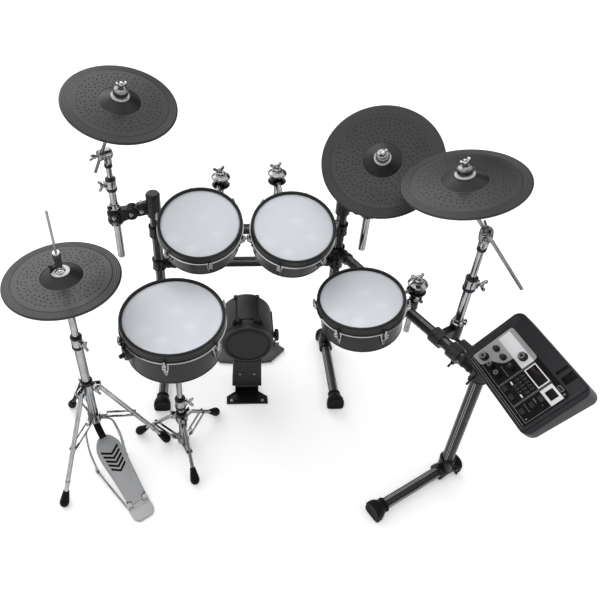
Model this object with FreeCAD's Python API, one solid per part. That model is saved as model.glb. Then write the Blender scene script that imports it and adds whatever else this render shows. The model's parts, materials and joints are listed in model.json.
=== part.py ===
import FreeCAD, Part
import math
import os

V = FreeCAD.Vector
UP = V(0, 0, 1)
FLOOR = V(0, 0, 0)

# From the layout's origin to the floor under the middle of the kit
KIT_SHIFT = V(-11.0, 18.5, 0)

# Fits
SEAT = 0.15
RUN = 0.08
CLEAR = 0.35

# Rack: posts, bars and feet
POST_R = 18.0
POST_WALL = 2.0
GROOVE_R = 2.4
GROOVES = 4
POST_TOP = 768.0
RACK_W = 658.0
REAR_POST_X = 273.0
POST_ROW_Y = 368.0
SIDE_RUN_X = 330.0
SIDE_RUN_Y = 590.0
LEFT_POST = V(REAR_POST_X - RACK_W, POST_ROW_Y, 0)
REAR_POST = V(REAR_POST_X, POST_ROW_Y, 0)
RIGHT_POST = V(REAR_POST_X + SIDE_RUN_X, POST_ROW_Y - SIDE_RUN_Y, 0)
UPPER_BAR_Z = 624.0
LOWER_BAR_Z = 474.0
SIDE_BAR_Z = 522.0
JOINT_R = 25.0
JOINT_H = 44.0
JOINT_REACH = 62.0
SOCKET_OUT = 20.6
BAR_INSET = 28.0
CAP_H = 13.0
FOOT_AXIS_Z = 30.0
FOOT_FRONT = 318.0
FOOT_REAR = 52.0
TEE_LENGTH = 66.0
TEE_H = 66.0
BOOT_R = 32.0
BOOT_NECK_T = 2.6
BOOT_FRONT_L = 52.0
BOOT_REAR_L = 24.0
BOOT_ROUND = 7.0
BOOT_TIP = 6.0

# Wing bolts
BOLT_R = 4.0
BOLT_BOSS_R = 9.0
WING_SPAN = 40.0
WING_H = 16.0
WING_T = 6.0

# Cymbal stands
LOWER_TUBE_R = 12.7
UPPER_TUBE_R = 9.5
TUBE_WALL = 1.2
COLLAR_R = 16.5
COLLAR_RING_R = 18.5
COLLAR_RING_H = 14.0
COLLAR_H = 66.0
TUBE_TAIL = 210.0
ARM_R = 15.0
ARM_POST_Z = 728.0
ARM_SLEEVE_H = 78.0
ARM_HINGE_R = 21.0
ARM_HINGE_W = 34.0
CLAMP_R = 21.0
CLAMP_H = 64.0
BOOM_R = 5.2
TILTER_R = 19.0
TILTER_HALF_W = 9.0
BOOM_OFFSET = 19.0
BOOM_CLAMP_R = 12.0
SEAT_DROP = 60.0
CYMBAL_ROD_R = 5.0
PAD_HOLE_R = 5.9
SEAT_TOP_R = 6.0
SEAT_R = 15.0
SEAT_GAP = 0.9
STACK_H = 62.0

# Cymbal pads
SMALL_PAD_R = 165.0
LARGE_PAD_R = 190.5
PAD_EDGE = 8.0
PAD_BOW = 22.0
PAD_SHELL = 8.0
BELL_SHARE = 0.36
LARGE_BELL_SHARE = 0.31
BELL_H = 20.0
BELL_TOP_R = 22.0

# Left cymbal: tube beside the left post, pad reached by its boom
LEFT_TUBE_OUT = 136.0
LEFT_TUBE_LOW = 510.0
LEFT_COLLAR_UP = 26.0
LEFT_TILT_UP = 140.0
LEFT_ARM_Z = 690.0
LEFT_PAD_X = 90.0
LEFT_PAD_Y = -154.0
LEFT_PAD_UP = 241.0
LEFT_PAD_N = V(0.217, -0.24, 0.946)
LEFT_COUNTER = 150.0
LEFT_TUBE = LEFT_POST - V(LEFT_TUBE_OUT, 0, 0)
LEFT_COLLAR_Z = POST_TOP + LEFT_COLLAR_UP
LEFT_TILT_Z = LEFT_COLLAR_Z + LEFT_TILT_UP
LEFT_PAD = LEFT_TUBE + V(LEFT_PAD_X, LEFT_PAD_Y, LEFT_TILT_Z + LEFT_PAD_UP)

# Middle cymbal: tube beside the rear post
MID_TUBE_OUT = 90.0
MID_TUBE_BACK = 4.0
MID_TUBE_LOW = 525.0
MID_COLLAR_DOWN = 26.0
MID_TILT_UP = 112.0
MID_ARM_Z = 704.0
MID_PAD_X = -4.0
MID_PAD_Y = -82.0
MID_PAD_UP = 84.0
MID_PAD_N = V(-0.225, -0.586, 0.778)
MID_COUNTER = 70.0
MID_TUBE = REAR_POST + V(MID_TUBE_OUT, MID_TUBE_BACK, 0)
MID_COLLAR_Z = POST_TOP - MID_COLLAR_DOWN
MID_TILT_Z = MID_COLLAR_Z + MID_TILT_UP
MID_PAD = MID_TUBE + V(MID_PAD_X, MID_PAD_Y, MID_TILT_Z + MID_PAD_UP)

# Right cymbal: tube in a clamp on the side bar
RIGHT_TUBE_IN = 18.0
RIGHT_TUBE_BACK = 182.0
RIGHT_TUBE_LOW = 488.0
RIGHT_COLLAR_UP = 168.0
RIGHT_TILT_UP = 198.0
RIGHT_PAD_X = -84.0
RIGHT_PAD_Y = 33.0
RIGHT_PAD_UP = 151.0
RIGHT_PAD_N = V(-0.218, 0.01, 0.976)
RIGHT_COUNTER = 245.0
RIGHT_TUBE = RIGHT_POST + V(-RIGHT_TUBE_IN, RIGHT_TUBE_BACK, 0)
RIGHT_COLLAR_Z = SIDE_BAR_Z + RIGHT_COLLAR_UP
RIGHT_TILT_Z = RIGHT_COLLAR_Z + RIGHT_TILT_UP
RIGHT_PAD = RIGHT_TUBE + V(RIGHT_PAD_X, RIGHT_PAD_Y, RIGHT_TILT_Z + RIGHT_PAD_UP)

# Hi-hat stand and pedal
HIHAT_OUT = 207.0
HIHAT_Y = -109.0
HIHAT = V(LEFT_POST.x - HIHAT_OUT, HIHAT_Y, 0)
HIHAT_BASE_R = 14.3
HIHAT_TUBE_R = 11.0
HIHAT_COLLAR_Z = 535.0
HIHAT_SEAT_Z = 772.0
HIHAT_SEAT_R = 30.0
HIHAT_OPENING = 36.0
HIHAT_PAD_Z = HIHAT_SEAT_Z + HIHAT_OPENING
HIHAT_ROD_R = 3.5
HIHAT_ROD_UP = 230.0
HIHAT_ROD_TOP = HIHAT_PAD_Z + HIHAT_ROD_UP
HIHAT_ROD_LOW = 156.0
HIHAT_HUB_Z = 352.0
HIHAT_LOW_HUB_Z = 196.0
HIHAT_FOOT_R = 232.0
HIHAT_FOOT_TURN = 247.0
HIHAT_LEG_R = 7.5
CLUTCH_R = 13.0
PEDAL_TURN = -55.0
PEDAL_HINGE = 262.0
PEDAL_HINGE_Z = 20.0
PEDAL_TOE = 34.0
PEDAL_TOE_Z = 112.0
PEDAL_TOE_W = 66.0
PEDAL_WAIST_W = 88.0
PEDAL_HEEL_W = 64.0
PEDAL_T = 6.0
HEEL_L = 56.0
HEEL_W = 76.0
HEEL_H = 13.0
HINGE_PIN_R = 3.0
KNUCKLE_R = 6.5
RAIL_R = 4.5
RAIL_SPREAD = 56.0
RAIL_BEND = 72.0
STRAP_W = 24.0
STRAP_T = 4.0
STRAP_GAP = 0.7

# Tripods
HUB_R = 21.0
HUB_H = 30.0
EAR_T = 3.0
EAR_REACH = 22.0
EAR_H = 20.0
BRACE_T = 3.0
BRACE_H = 9.0
FOOT_TIP_R = 16.0
FOOT_TIP_L = 40.0
FOOT_SEAT_Z = 18.0

# Snare stand and snare
SNARE_IN = 87.0
SNARE_Y = -87.0
SNARE_AXIS = V(LEFT_POST.x + SNARE_IN, SNARE_Y, 0)
SNARE_BASE_R = 12.7
SNARE_TUBE_R = 9.5
SNARE_COLLAR_Z = 206.0
SNARE_HUB_Z = 152.0
SNARE_LOW_HUB_Z = 30.0
SNARE_FOOT_R = 166.0
SNARE_FOOT_TURN = 166.0
SNARE_LEG_R = 6.5
SNARE_TILT_Z = 430.0
SNARE_TILT = 2.5
SNARE_HEAD_Z = 651.0
SNARE_HEAD_R = 148.5
SNARE_DEPTH = 128.0
BASKET_ARM_R = 4.5
BASKET_HUB_R = 24.0
BASKET_GRIP_R = 118.0
BASKET_TIP_R = 12.0
CONTROL_TURN = 214.0
CONTROL_W = 34.0
CONTROL_D = 22.0
CONTROL_H = 52.0
CONTROL_KNOB_R = 8.0
CONTROL_KNOB_L = 14.0

# Drums
HEAD_T = 2.0
RIM_W = 10.0
RIM_ABOVE = 7.0
RIM_H = 30.0
HOOP_T = 5.0
HOOP_OUT = 4.0
SHELL_OUT = 1.0
SHELL_WALL = 6.0
SHELL_FLOOR = 4.0
LUGS = 6
LUG_W = 13.0
LUG_D = 12.0
LUG_H = 28.0
LUG_BOLT_R = 3.2
LUG_HEAD_R = 5.5
LUG_BOLT_H = 20.0

# Toms and their holders
TOM_HEAD_R = 125.5
TOM_DEPTH = 108.0
TOM_GAP = 25.0
TOM_SPACING = (TOM_HEAD_R + RIM_W) * 2 + TOM_GAP
RIGHT_TOM_IN = 195.0
RIGHT_TOM_Y = 174.0
RIGHT_TOM_Z = 773.0
RIGHT_TOM = V(REAR_POST_X - RIGHT_TOM_IN, RIGHT_TOM_Y, RIGHT_TOM_Z)
LEFT_TOM_Y = 177.0
LEFT_TOM_Z = 790.0
LEFT_TOM = V(RIGHT_TOM.x - TOM_SPACING, LEFT_TOM_Y, LEFT_TOM_Z)
LEFT_LUG_TURN = 43.0
RIGHT_LUG_TURN = 9.0
FLOOR_LUG_TURN = 50.0
TOM_TILT = 21.5
FLOOR_TOM_X = 7.0
FLOOR_TOM_Y = -2.0
FLOOR_TOM_Z = 625.0
FLOOR_TOM = V(REAR_POST_X + FLOOR_TOM_X, FLOOR_TOM_Y, FLOOR_TOM_Z)
FLOOR_TOM_N = V(-0.143, -0.044, 0.989)
HOLDER_ROD_R = 9.5
HOLDER_OFFSET = 42.0
HOLDER_BELOW = 130.0
HOLDER_CLAMP_R = 27.0
HOLDER_CLAMP_L = 40.0
LEFT_HOLDER_IN = 67.0
RIGHT_HOLDER_IN = 36.0
LEFT_HOLDER_X = LEFT_TOM.x + LEFT_HOLDER_IN
RIGHT_HOLDER_X = RIGHT_TOM.x - RIGHT_HOLDER_IN
FLOOR_HOLDER_SHARE = 0.52
LEFT_BALL_Z = 800.0
RIGHT_BALL_Z = 812.0
FLOOR_BALL_Z = 592.0
BALL_R = 15.0
SOCKET_R = 25.0
SOCKET_MOUTH_R = 17.0
ARM_ROD_R = 6.0
BRACKET_R = 17.0
BRACKET_T = 12.0

# Kick pad
KICK_IN = 324.0
KICK_Y = 138.0
KICK_Z = 268.0
KICK = V(LEFT_POST.x + KICK_IN, KICK_Y, KICK_Z)
KICK_R = 94.0
KICK_L = 180.0
KICK_RING_R = 90.0
KICK_RING_L = 14.0
KICK_PAD_R = 77.0
KICK_PAD_T = 12.0
KICK_BAND_W = 72.0
KICK_BAND_T = 3.0
KICK_BAND_FRONT = 40.0
KICK_BAND_REAR = 10.0
KICK_LUG_R = 8.0
KICK_LUG_HOLE_R = 4.5
KICK_LUG_INSET = 30.0
KICK_LUG_H = 22.0
KICK_KNOB_R = 21.0
KICK_KNOB_L = 26.0
KICK_KNOB_STEM_R = 11.0
KICK_KNOB_BACK = 50.0
NECK_W = 98.0
NECK_LOW_W = 113.0
NECK_LOW_Z = 38.0
NECK_T = 34.0
NECK_WALL = 6.0
NECK_WAIST_W = 90.0
KICK_PLATE_W = 158.0
KICK_PLATE_FRONT = 58.0
KICK_PLATE_SIDE = 32.0
KICK_PLATE_T = 6.0
SPINE_W = 64.0
SPUR_BACK = 166.0
SPUR_KNEE_X = 97.0
SPUR_KNEE_Y = 182.0
SPUR_TIP_X = 146.0
SPUR_TIP_Y = 250.0
SPUR_W = 34.0
SPUR_T = 12.0
SPUR_PIN_R = 3.5
SPUR_PIN_H = 26.0

# Sound module
MODULE_OUT = 25.0
MODULE_AHEAD = 114.0
MODULE_Z = 650.0
MODULE = RIGHT_POST + V(MODULE_OUT, -MODULE_AHEAD, MODULE_Z)
MODULE_TURN = -77.1
MODULE_PITCH = 44.4
CASE_W = 296.0
CASE_D = 198.0
CASE_FRONT_T = 34.0
CASE_REAR_T = 60.0
CASE_ROUND = 24.0
CASE_EDGE = 7.0
CASE_SHIFT_X = -2.5
CASE_SHIFT_Y = 19.0
CASE_SHIFT = V(CASE_SHIFT_X, CASE_SHIFT_Y, 0)
CASE_MARGIN_X = 51.0
CASE_MARGIN_Y = 55.4
SHOULDER_GAP = 9.0
SHOULDER_DROP = 3.0
PANEL_W = CASE_W - CASE_MARGIN_X
PANEL_D = CASE_D - CASE_MARGIN_Y
PANEL_T = 2.0
PANEL_ROUND = 9.0
JACKS = 11
JACK_R = 4.5
JACK_DEPTH = 3.5
JACK_MARGIN = 30.0
DIAL_R = 12.5
DIAL_H = 14.0
POT_R = 9.0
POT_H = 13.0
KNOB_ROW_Y = -0.26 * PANEL_D
POT_ROW_Y = 0.014 * PANEL_D
DIAL_PLACES = {
    "volume_knob": V(-0.395 * PANEL_W, KNOB_ROW_Y, 0),
    "data_dial": V(-0.122 * PANEL_W, 0.302 * PANEL_D, 0),
}
POT_PLACES = {
    "trim_knob_1": V(-0.384 * PANEL_W, POT_ROW_Y, 0),
    "trim_knob_2": V(-0.253 * PANEL_W, POT_ROW_Y, 0),
    "trim_knob_3": V(-0.11 * PANEL_W, POT_ROW_Y, 0),
    "trim_knob_4": V(-0.269 * PANEL_W, KNOB_ROW_Y, 0),
    "trim_knob_5": V(-0.139 * PANEL_W, KNOB_ROW_Y, 0),
}
KEY_W = 17.0
KEY_D = 12.0
KEY_H = 3.5
KEY_TRAVEL = 0.8
KEY_SUNK = 0.4
KEY_ROW_Y = -0.315 * PANEL_D
KEY_COLUMN_X = 0.363 * PANEL_W
KEY_PLACES = {
    "key_1": V(0.053 * PANEL_W, KEY_ROW_Y, 0),
    "key_2": V(0.171 * PANEL_W, KEY_ROW_Y, 0),
    "key_3": V(KEY_COLUMN_X, KEY_ROW_Y, 0),
    "key_4": V(KEY_COLUMN_X, -0.112 * PANEL_D, 0),
    "key_5": V(KEY_COLUMN_X, 0.077 * PANEL_D, 0),
}
HOLDER_SHARE = 0.86
HOLDER_ARM_R = 6.3
HOLDER_RUN = 168.0
HINGE_R = 9.0
HINGE_DROP = 16.0
HINGE_L = 34.0
PLATE_W = 110.0
PLATE_D = 74.0
PLATE_T = 4.0


def unit(vector):
    """The vector at length one."""
    return V(vector) / vector.Length


def heading(degrees):
    """Level direction at an angle from +X."""
    turn = math.radians(degrees)
    return V(math.cos(turn), math.sin(turn), 0)


def aligned(origin, axis, side=None):
    """Placement with local Z along axis and, where given, local X towards side."""
    z_axis = unit(axis)
    if side is None:
        return FreeCAD.Placement(origin, FreeCAD.Rotation(UP, z_axis))
    y_axis = unit(z_axis.cross(side))
    return FreeCAD.Placement(origin, FreeCAD.Rotation(y_axis.cross(z_axis), y_axis, z_axis, "ZXY"))


def placed(shape, placement):
    """A copy of a shape moved from local to kit coordinates."""
    moved = shape.copy()
    moved.Placement = placement.multiply(shape.Placement)
    return moved


def rod(start, end, radius):
    """Solid round bar between two points."""
    return Part.makeCylinder(radius, (end - start).Length, start, end - start)


def pipe(start, end, outer, inner):
    """Round tube between two points."""
    return rod(start, end, outer).cut(rod(start, end, inner))


def block(low, high):
    """Box between two corners."""
    size = high - low
    return Part.makeBox(size.x, size.y, size.z, low)


def turned(profile, origin=FLOOR, axis=UP):
    """Solid of revolution of (radius, height) points about an axis."""
    points = [V(radius, 0, height) for radius, height in profile]
    face = Part.Face(Part.makePolygon(points + points[:1]))
    solid = face.revolve(FLOOR, UP, 360)
    return placed(solid, aligned(origin, axis))


def plate(points, thickness):
    """Flat outline in the XY plane, raised by its thickness."""
    return Part.Face(Part.makePolygon(points + points[:1])).extrude(V(0, 0, thickness))


def fused(shapes):
    """One solid from touching shapes."""
    return shapes[0].multiFuse(shapes[1:]).removeSplitter()


def upright_edges(shape):
    """Straight edges parallel to local Z."""
    return [e for e in shape.Edges if len(e.Vertexes) == 2 and abs(e.tangentAt(e.FirstParameter).z) > 0.999]


def grooved_tube(start, end):
    """Rack tube with lengthwise grooves on its outside."""
    tube = rod(start, end, POST_R)
    frame = aligned(start, end - start)
    for k in range(GROOVES):
        offset = frame.Rotation.multVec(heading(45 + 360 * k / GROOVES)) * (POST_R + GROOVE_R / 2)
        tube = tube.cut(rod(start + offset, end + offset, GROOVE_R))
    return tube.cut(rod(start, end, POST_R - POST_WALL - GROOVE_R))


def wing_bolt(point, direction, side, reach):
    """Screw with a two-lobed wing: it starts at point and its wing lies reach out along direction."""
    tip = point + unit(direction) * reach
    frame = aligned(tip, direction, side)
    half = WING_SPAN / 2
    outline = [V(-BOLT_BOSS_R, 0, 0), V(-half, WING_H * 0.55, 0), V(-half * 0.8, WING_H, 0),
               V(0, WING_H * 0.6, 0), V(half * 0.8, WING_H, 0), V(half, WING_H * 0.55, 0),
               V(BOLT_BOSS_R, 0, 0)]
    wing = plate(outline, WING_T)
    wing.Placement = FreeCAD.Placement(V(0, WING_T / 2, 0), FreeCAD.Rotation(V(1, 0, 0), 90))
    boss = rod(FLOOR, V(0, 0, WING_H * 0.7), BOLT_BOSS_R * 0.75)
    shank = rod(V(0, 0, -reach), FLOOR, BOLT_R)
    return placed(fused([wing, boss, shank]), frame)


def side_direction():
    """Level unit vector along the side bar from the rear post to the right post."""
    return unit(RIGHT_POST - REAR_POST)


def side_point(share):
    """Point on the side bar's axis at a share of the distance between its posts."""
    return REAR_POST + (RIGHT_POST - REAR_POST) * share + UP * SIDE_BAR_Z


def outward():
    """Level unit vector square to the side bar, away from the player."""
    along = side_direction()
    return V(-along.y, along.x, 0)


def foot_directions():
    """Each post with the level direction of its foot."""
    return [(LEFT_POST, V(0, -1, 0)), (REAR_POST, V(0, -1, 0)), (RIGHT_POST, -outward())]


def bar_ends():
    """Each bar as its two post joints: height, first post, second post."""
    return [(UPPER_BAR_Z, LEFT_POST, REAR_POST), (LOWER_BAR_Z, LEFT_POST, REAR_POST),
            (SIDE_BAR_Z, REAR_POST, RIGHT_POST)]


def rack_posts():
    """Three upright tubes standing in their foot tees."""
    low = FOOT_AXIS_Z + POST_R + POST_WALL
    side_top = SIDE_BAR_Z + JOINT_H / 2
    tops = [POST_TOP, POST_TOP, side_top]
    return [grooved_tube(post + UP * low, post + UP * top)
            for (post, _), top in zip(foot_directions(), tops)]


def rack_bars():
    """Upper, lower and side bar, each held in two joints."""
    bars = []
    for height, first, second in bar_ends():
        along = unit(second - first)
        bars.append(grooved_tube(first + along * BAR_INSET + UP * height,
                                 second - along * BAR_INSET + UP * height))
    return bars


def foot_pipes():
    """Three floor pipes pointing at the player."""
    pipes = []
    for post, ahead in foot_directions():
        centre = post + UP * FOOT_AXIS_Z
        front = centre + ahead * (FOOT_FRONT - BOOT_TIP)
        pipes.append(grooved_tube(centre - ahead * FOOT_REAR, front))
    return pipes


def bar_joint(post, height, along):
    """Casting that holds a bar's end on a post."""
    centre = post + UP * height
    sleeve = rod(centre - UP * JOINT_H / 2, centre + UP * JOINT_H / 2, JOINT_R)
    socket = rod(centre, centre + along * JOINT_REACH, SOCKET_OUT)
    lip = rod(centre + along * (JOINT_REACH - 9), centre + along * (JOINT_REACH + 2), SOCKET_OUT + 2)
    body = fused([sleeve, socket, lip])
    post_bore = rod(centre - UP * JOINT_H, centre + UP * JOINT_H, POST_R + SEAT)
    bar_bore = rod(centre + along * (BAR_INSET - SEAT), centre + along * JOINT_REACH * 2, POST_R + SEAT)
    return body.cut(post_bore).cut(bar_bore)


def foot_tee(post, ahead):
    """Casting that stands a post on its foot pipe."""
    centre = post + UP * FOOT_AXIS_Z
    half = TEE_LENGTH / 2
    sleeve = rod(centre - ahead * half, centre + ahead * half, JOINT_R)
    socket = rod(centre, centre + UP * TEE_H, JOINT_R - 1)
    collar = rod(centre + ahead * (half - 10), centre + ahead * (half + 2), JOINT_R + 1.5)
    body = fused([sleeve, socket, collar])
    pipe_bore = rod(centre - ahead * TEE_LENGTH, centre + ahead * TEE_LENGTH, POST_R + SEAT)
    post_bore = rod(centre + UP * (POST_R + POST_WALL - SEAT), centre + UP * TEE_H * 2, POST_R + SEAT)
    return body.cut(pipe_bore).cut(post_bore)


def post_cap(post):
    """Domed cap that closes a post's top."""
    profile = [(0, SEAT), (JOINT_R, SEAT), (JOINT_R, CAP_H * 0.6), (JOINT_R - 4, CAP_H), (0, CAP_H)]
    return turned(profile, post + UP * POST_TOP)


def rack_joints():
    """Foot tees, bar joints and post caps."""
    joints = [foot_tee(post, ahead) for post, ahead in foot_directions()]
    for height, first, second in bar_ends():
        along = unit(second - first)
        joints.append(bar_joint(first, height, along))
        joints.append(bar_joint(second, height, -along))
    return joints + [post_cap(LEFT_POST), post_cap(REAR_POST)]


def boot(inner_end, ahead, length):
    """Rubber boot round a foot pipe's end: a neck that flares to a domed end, cut flat on the floor."""
    bore = POST_R + SEAT
    neck = bore + BOOT_NECK_T
    flare = length - BOOT_ROUND * 3
    profile = [(bore, 0), (neck, 0), (neck, flare * 0.3), (BOOT_R - 1, flare),
               (BOOT_R, length - BOOT_ROUND * 2),
               (BOOT_R - 2, length - BOOT_ROUND), (BOOT_R - BOOT_ROUND * 1.4, length), (0, length),
               (0, length - BOOT_TIP), (bore, length - BOOT_TIP)]
    centre = V(inner_end.x, inner_end.y, FOOT_AXIS_Z)
    body = turned(profile, centre, ahead)
    reach = length + BOOT_R * 2
    return body.common(block(centre - V(reach, reach, FOOT_AXIS_Z), centre + V(reach, reach, reach)))


def foot_boots():
    """Front and rear boots of the three feet."""
    boots = []
    for post, ahead in foot_directions():
        boots.append(boot(post + ahead * (FOOT_FRONT - BOOT_FRONT_L), ahead, BOOT_FRONT_L))
        boots.append(boot(post - ahead * (FOOT_REAR + BOOT_TIP - BOOT_REAR_L), -ahead, BOOT_REAR_L))
    return boots


def side_arm(post, tube, tube_z):
    """Post-top arm that carries a cymbal tube beside a post."""
    base = post + UP * ARM_POST_Z
    hold = tube + UP * tube_z
    along = unit(hold - base)
    sleeve = rod(post + UP * (POST_TOP - ARM_SLEEVE_H), post + UP * POST_TOP, JOINT_R)
    arm = rod(base, hold, ARM_R)
    middle = base + (hold - base) * 0.58
    across = unit(along.cross(UP))
    hinge = rod(middle - across * ARM_HINGE_W / 2, middle + across * ARM_HINGE_W / 2, ARM_HINGE_R)
    clamp = rod(hold - UP * CLAMP_H / 2, hold + UP * CLAMP_H / 2, CLAMP_R)
    knob = rod(hold, hold - across * (CLAMP_R + 12), CLAMP_R * 0.7)
    body = fused([sleeve, arm, hinge, clamp, knob])
    body = body.cut(rod(post, post + UP * POST_TOP * 2, POST_R + SEAT))
    return body.cut(rod(tube, tube + UP * POST_TOP * 2, LOWER_TUBE_R + SEAT))


def bar_clamp(axis_point, along, tube, tube_radius, sleeve_radius, sleeve_height):
    """Ring on a bar with an upright sleeve beside it for a tube or rod."""
    half = along * HOLDER_CLAMP_L / 2
    ring = rod(axis_point - half, axis_point + half, HOLDER_CLAMP_R)
    hold = V(tube.x, tube.y, axis_point.z)
    reach = hold - axis_point
    web_half = unit(along) * HOLDER_CLAMP_L * 0.3
    drop = UP * HOLDER_CLAMP_R * 0.55
    corners = [axis_point - web_half - drop, axis_point + web_half - drop, hold + web_half - drop,
               hold - web_half - drop]
    web = Part.Face(Part.makePolygon(corners + corners[:1])).extrude(drop * 2)
    sleeve = rod(hold - UP * sleeve_height / 2, hold + UP * sleeve_height / 2, sleeve_radius)
    body = fused([ring, web, sleeve])
    body = body.cut(rod(axis_point - half * 2, axis_point + half * 2, POST_R + SEAT))
    return body.cut(rod(hold - UP * reach.Length * 3, hold + UP * reach.Length * 3, tube_radius + SEAT))


def holder_places():
    """Each tom holder: bar point, bar direction, rod foot point and ball height."""
    bar = UP * UPPER_BAR_Z
    along = V(1, 0, 0)
    behind = V(0, HOLDER_OFFSET, 0)
    left = V(LEFT_HOLDER_X, LEFT_POST.y, 0)
    right = V(RIGHT_HOLDER_X, LEFT_POST.y, 0)
    side = side_point(FLOOR_HOLDER_SHARE)
    floor_rod = V(side.x, side.y, 0) + outward() * HOLDER_OFFSET
    return [(left + bar, along, left + behind, LEFT_BALL_Z),
            (right + bar, along, right + behind, RIGHT_BALL_Z),
            (side, side_direction(), floor_rod, FLOOR_BALL_Z)]


def module_mount():
    """Bar point of the module holder's clamp and the foot of its rod."""
    point = side_point(HOLDER_SHARE)
    return point, point + outward() * HOLDER_OFFSET


def tube_clamps():
    """Castings that fix cymbal tubes, tom rods and the module rod to the rack."""
    clamps = [side_arm(LEFT_POST, LEFT_TUBE, LEFT_ARM_Z), side_arm(REAR_POST, MID_TUBE, MID_ARM_Z)]
    share = (RIGHT_TUBE - REAR_POST).dot(side_direction()) / (RIGHT_POST - REAR_POST).Length
    clamps.append(bar_clamp(side_point(share), side_direction(), RIGHT_TUBE, LOWER_TUBE_R, CLAMP_R,
                            CLAMP_H * 0.9))
    for point, along, foot, _ in holder_places():
        clamps.append(bar_clamp(point, along, foot, HOLDER_ROD_R, CLAMP_R * 0.8, CLAMP_H * 0.6))
    point, arm = module_mount()
    ring = rod(point - side_direction() * HOLDER_CLAMP_L / 2, point + side_direction() * HOLDER_CLAMP_L / 2,
               HOLDER_CLAMP_R)
    guide = rod(arm - side_direction() * HOLDER_CLAMP_L / 2, arm + side_direction() * HOLDER_CLAMP_L / 2,
                CLAMP_R * 0.8)
    past = side_direction() * HOLDER_CLAMP_L
    body = fused([ring, guide]).cut(rod(point - past, point + past, POST_R + SEAT))
    clamps.append(body.cut(rod(arm - past, arm + past, HOLDER_ARM_R + SEAT)))
    return clamps


def rack_wing_bolts():
    """Black wing bolts of the bar joints, foot tees and tube clamps."""
    bolts = []
    for height, first, second in bar_ends():
        along = unit(second - first)
        ahead = unit(along.cross(UP))
        for post in (first, second):
            bolts.append(wing_bolt(post + UP * height + ahead * (JOINT_R + CLEAR), ahead, UP, 12))
    for post, ahead in foot_directions():
        side = unit(UP.cross(ahead))
        bolts.append(wing_bolt(post + UP * (FOOT_AXIS_Z + TEE_H * 0.7) + side * (JOINT_R - 1 + SEAT), side,
                               UP, 10))
    points = [point for point, _, _, _ in holder_places()] + [module_mount()[0]]
    for point in points:
        bolts.append(wing_bolt(point - UP * (HOLDER_CLAMP_R + CLEAR), -UP, outward(), 12))
    return bolts


def stand_lower_tubes():
    """Outer tubes of the cymbal, hi-hat and snare stands."""
    tubes = []
    for tube, low, collar in ((LEFT_TUBE, LEFT_TUBE_LOW, LEFT_COLLAR_Z),
                              (MID_TUBE, MID_TUBE_LOW, MID_COLLAR_Z),
                              (RIGHT_TUBE, RIGHT_TUBE_LOW, RIGHT_COLLAR_Z)):
        tubes.append(pipe(tube + UP * low, tube + UP * collar, LOWER_TUBE_R, LOWER_TUBE_R - TUBE_WALL))
    hihat_low = HIHAT_LOW_HUB_Z - HUB_H / 2
    tubes.append(pipe(HIHAT + UP * hihat_low, HIHAT + UP * HIHAT_COLLAR_Z, HIHAT_BASE_R,
                      HIHAT_BASE_R - TUBE_WALL))
    snare_low = SNARE_LOW_HUB_Z - HUB_H / 2
    tubes.append(pipe(SNARE_AXIS + UP * snare_low, SNARE_AXIS + UP * SNARE_COLLAR_Z, SNARE_BASE_R,
                      SNARE_BASE_R - TUBE_WALL))
    return tubes


def collar(base, bore):
    """Height clamp: a chrome barrel between two plastic rings."""
    top = COLLAR_H - COLLAR_RING_H
    profile = [(bore, SEAT), (COLLAR_RING_R, SEAT), (COLLAR_RING_R, COLLAR_RING_H),
               (COLLAR_R, COLLAR_RING_H + 1),
               (COLLAR_R, top - 1), (COLLAR_RING_R, top), (COLLAR_RING_R, COLLAR_H - 2),
               (COLLAR_R, COLLAR_H), (bore, COLLAR_H)]
    return turned(profile, base)


def collar_places():
    """Collar seat, inner tube radius and the level direction of its wing bolt."""
    return [(LEFT_TUBE + UP * LEFT_COLLAR_Z, UPPER_TUBE_R, heading(205)),
            (MID_TUBE + UP * MID_COLLAR_Z, UPPER_TUBE_R, heading(80)),
            (RIGHT_TUBE + UP * RIGHT_COLLAR_Z, UPPER_TUBE_R, heading(-20)),
            (HIHAT + UP * HIHAT_COLLAR_Z, HIHAT_TUBE_R, heading(-35)),
            (SNARE_AXIS + UP * SNARE_COLLAR_Z, SNARE_TUBE_R, heading(0))]


def tube_collars():
    """Height clamps of the five stands."""
    return [collar(seat, bore + RUN) for seat, bore, _ in collar_places()]


def chrome_wing_bolts():
    """Wing bolts of the height clamps and wing nuts on the tom sockets."""
    bolts = []
    for seat, _, facing in collar_places():
        start = seat + UP * COLLAR_H / 2 + facing * (COLLAR_R + CLEAR)
        bolts.append(wing_bolt(start, facing, UP, 14))
    for _, _, foot, ball_z in holder_places():
        bolts.append(wing_bolt(foot + UP * (ball_z + SOCKET_R + CLEAR), UP, heading(20), 10))
    return bolts


def tripod_hub(centre, height, bore, leg_radius, clevis):
    """Hub ring with clevis ears for legs, or with tabs for braces."""
    ring = turned([(bore, -HUB_H / 2), (HUB_R, -HUB_H / 2), (HUB_R, HUB_H / 2), (bore, HUB_H / 2)],
                  centre + UP * height)
    parts = [ring]
    for turn in clevis:
        frame = FreeCAD.Placement(centre + UP * height, FreeCAD.Rotation(UP, turn))
        inner = leg_radius + SEAT
        parts.append(placed(block(V(HUB_R - 3, inner, -EAR_H / 2),
                                  V(HUB_R + EAR_REACH, inner + EAR_T, EAR_H / 2)), frame))
        parts.append(placed(block(V(HUB_R - 3, -inner - EAR_T, -EAR_H / 2),
                                  V(HUB_R + EAR_REACH, -inner, EAR_H / 2)), frame))
    return fused(parts)


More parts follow.
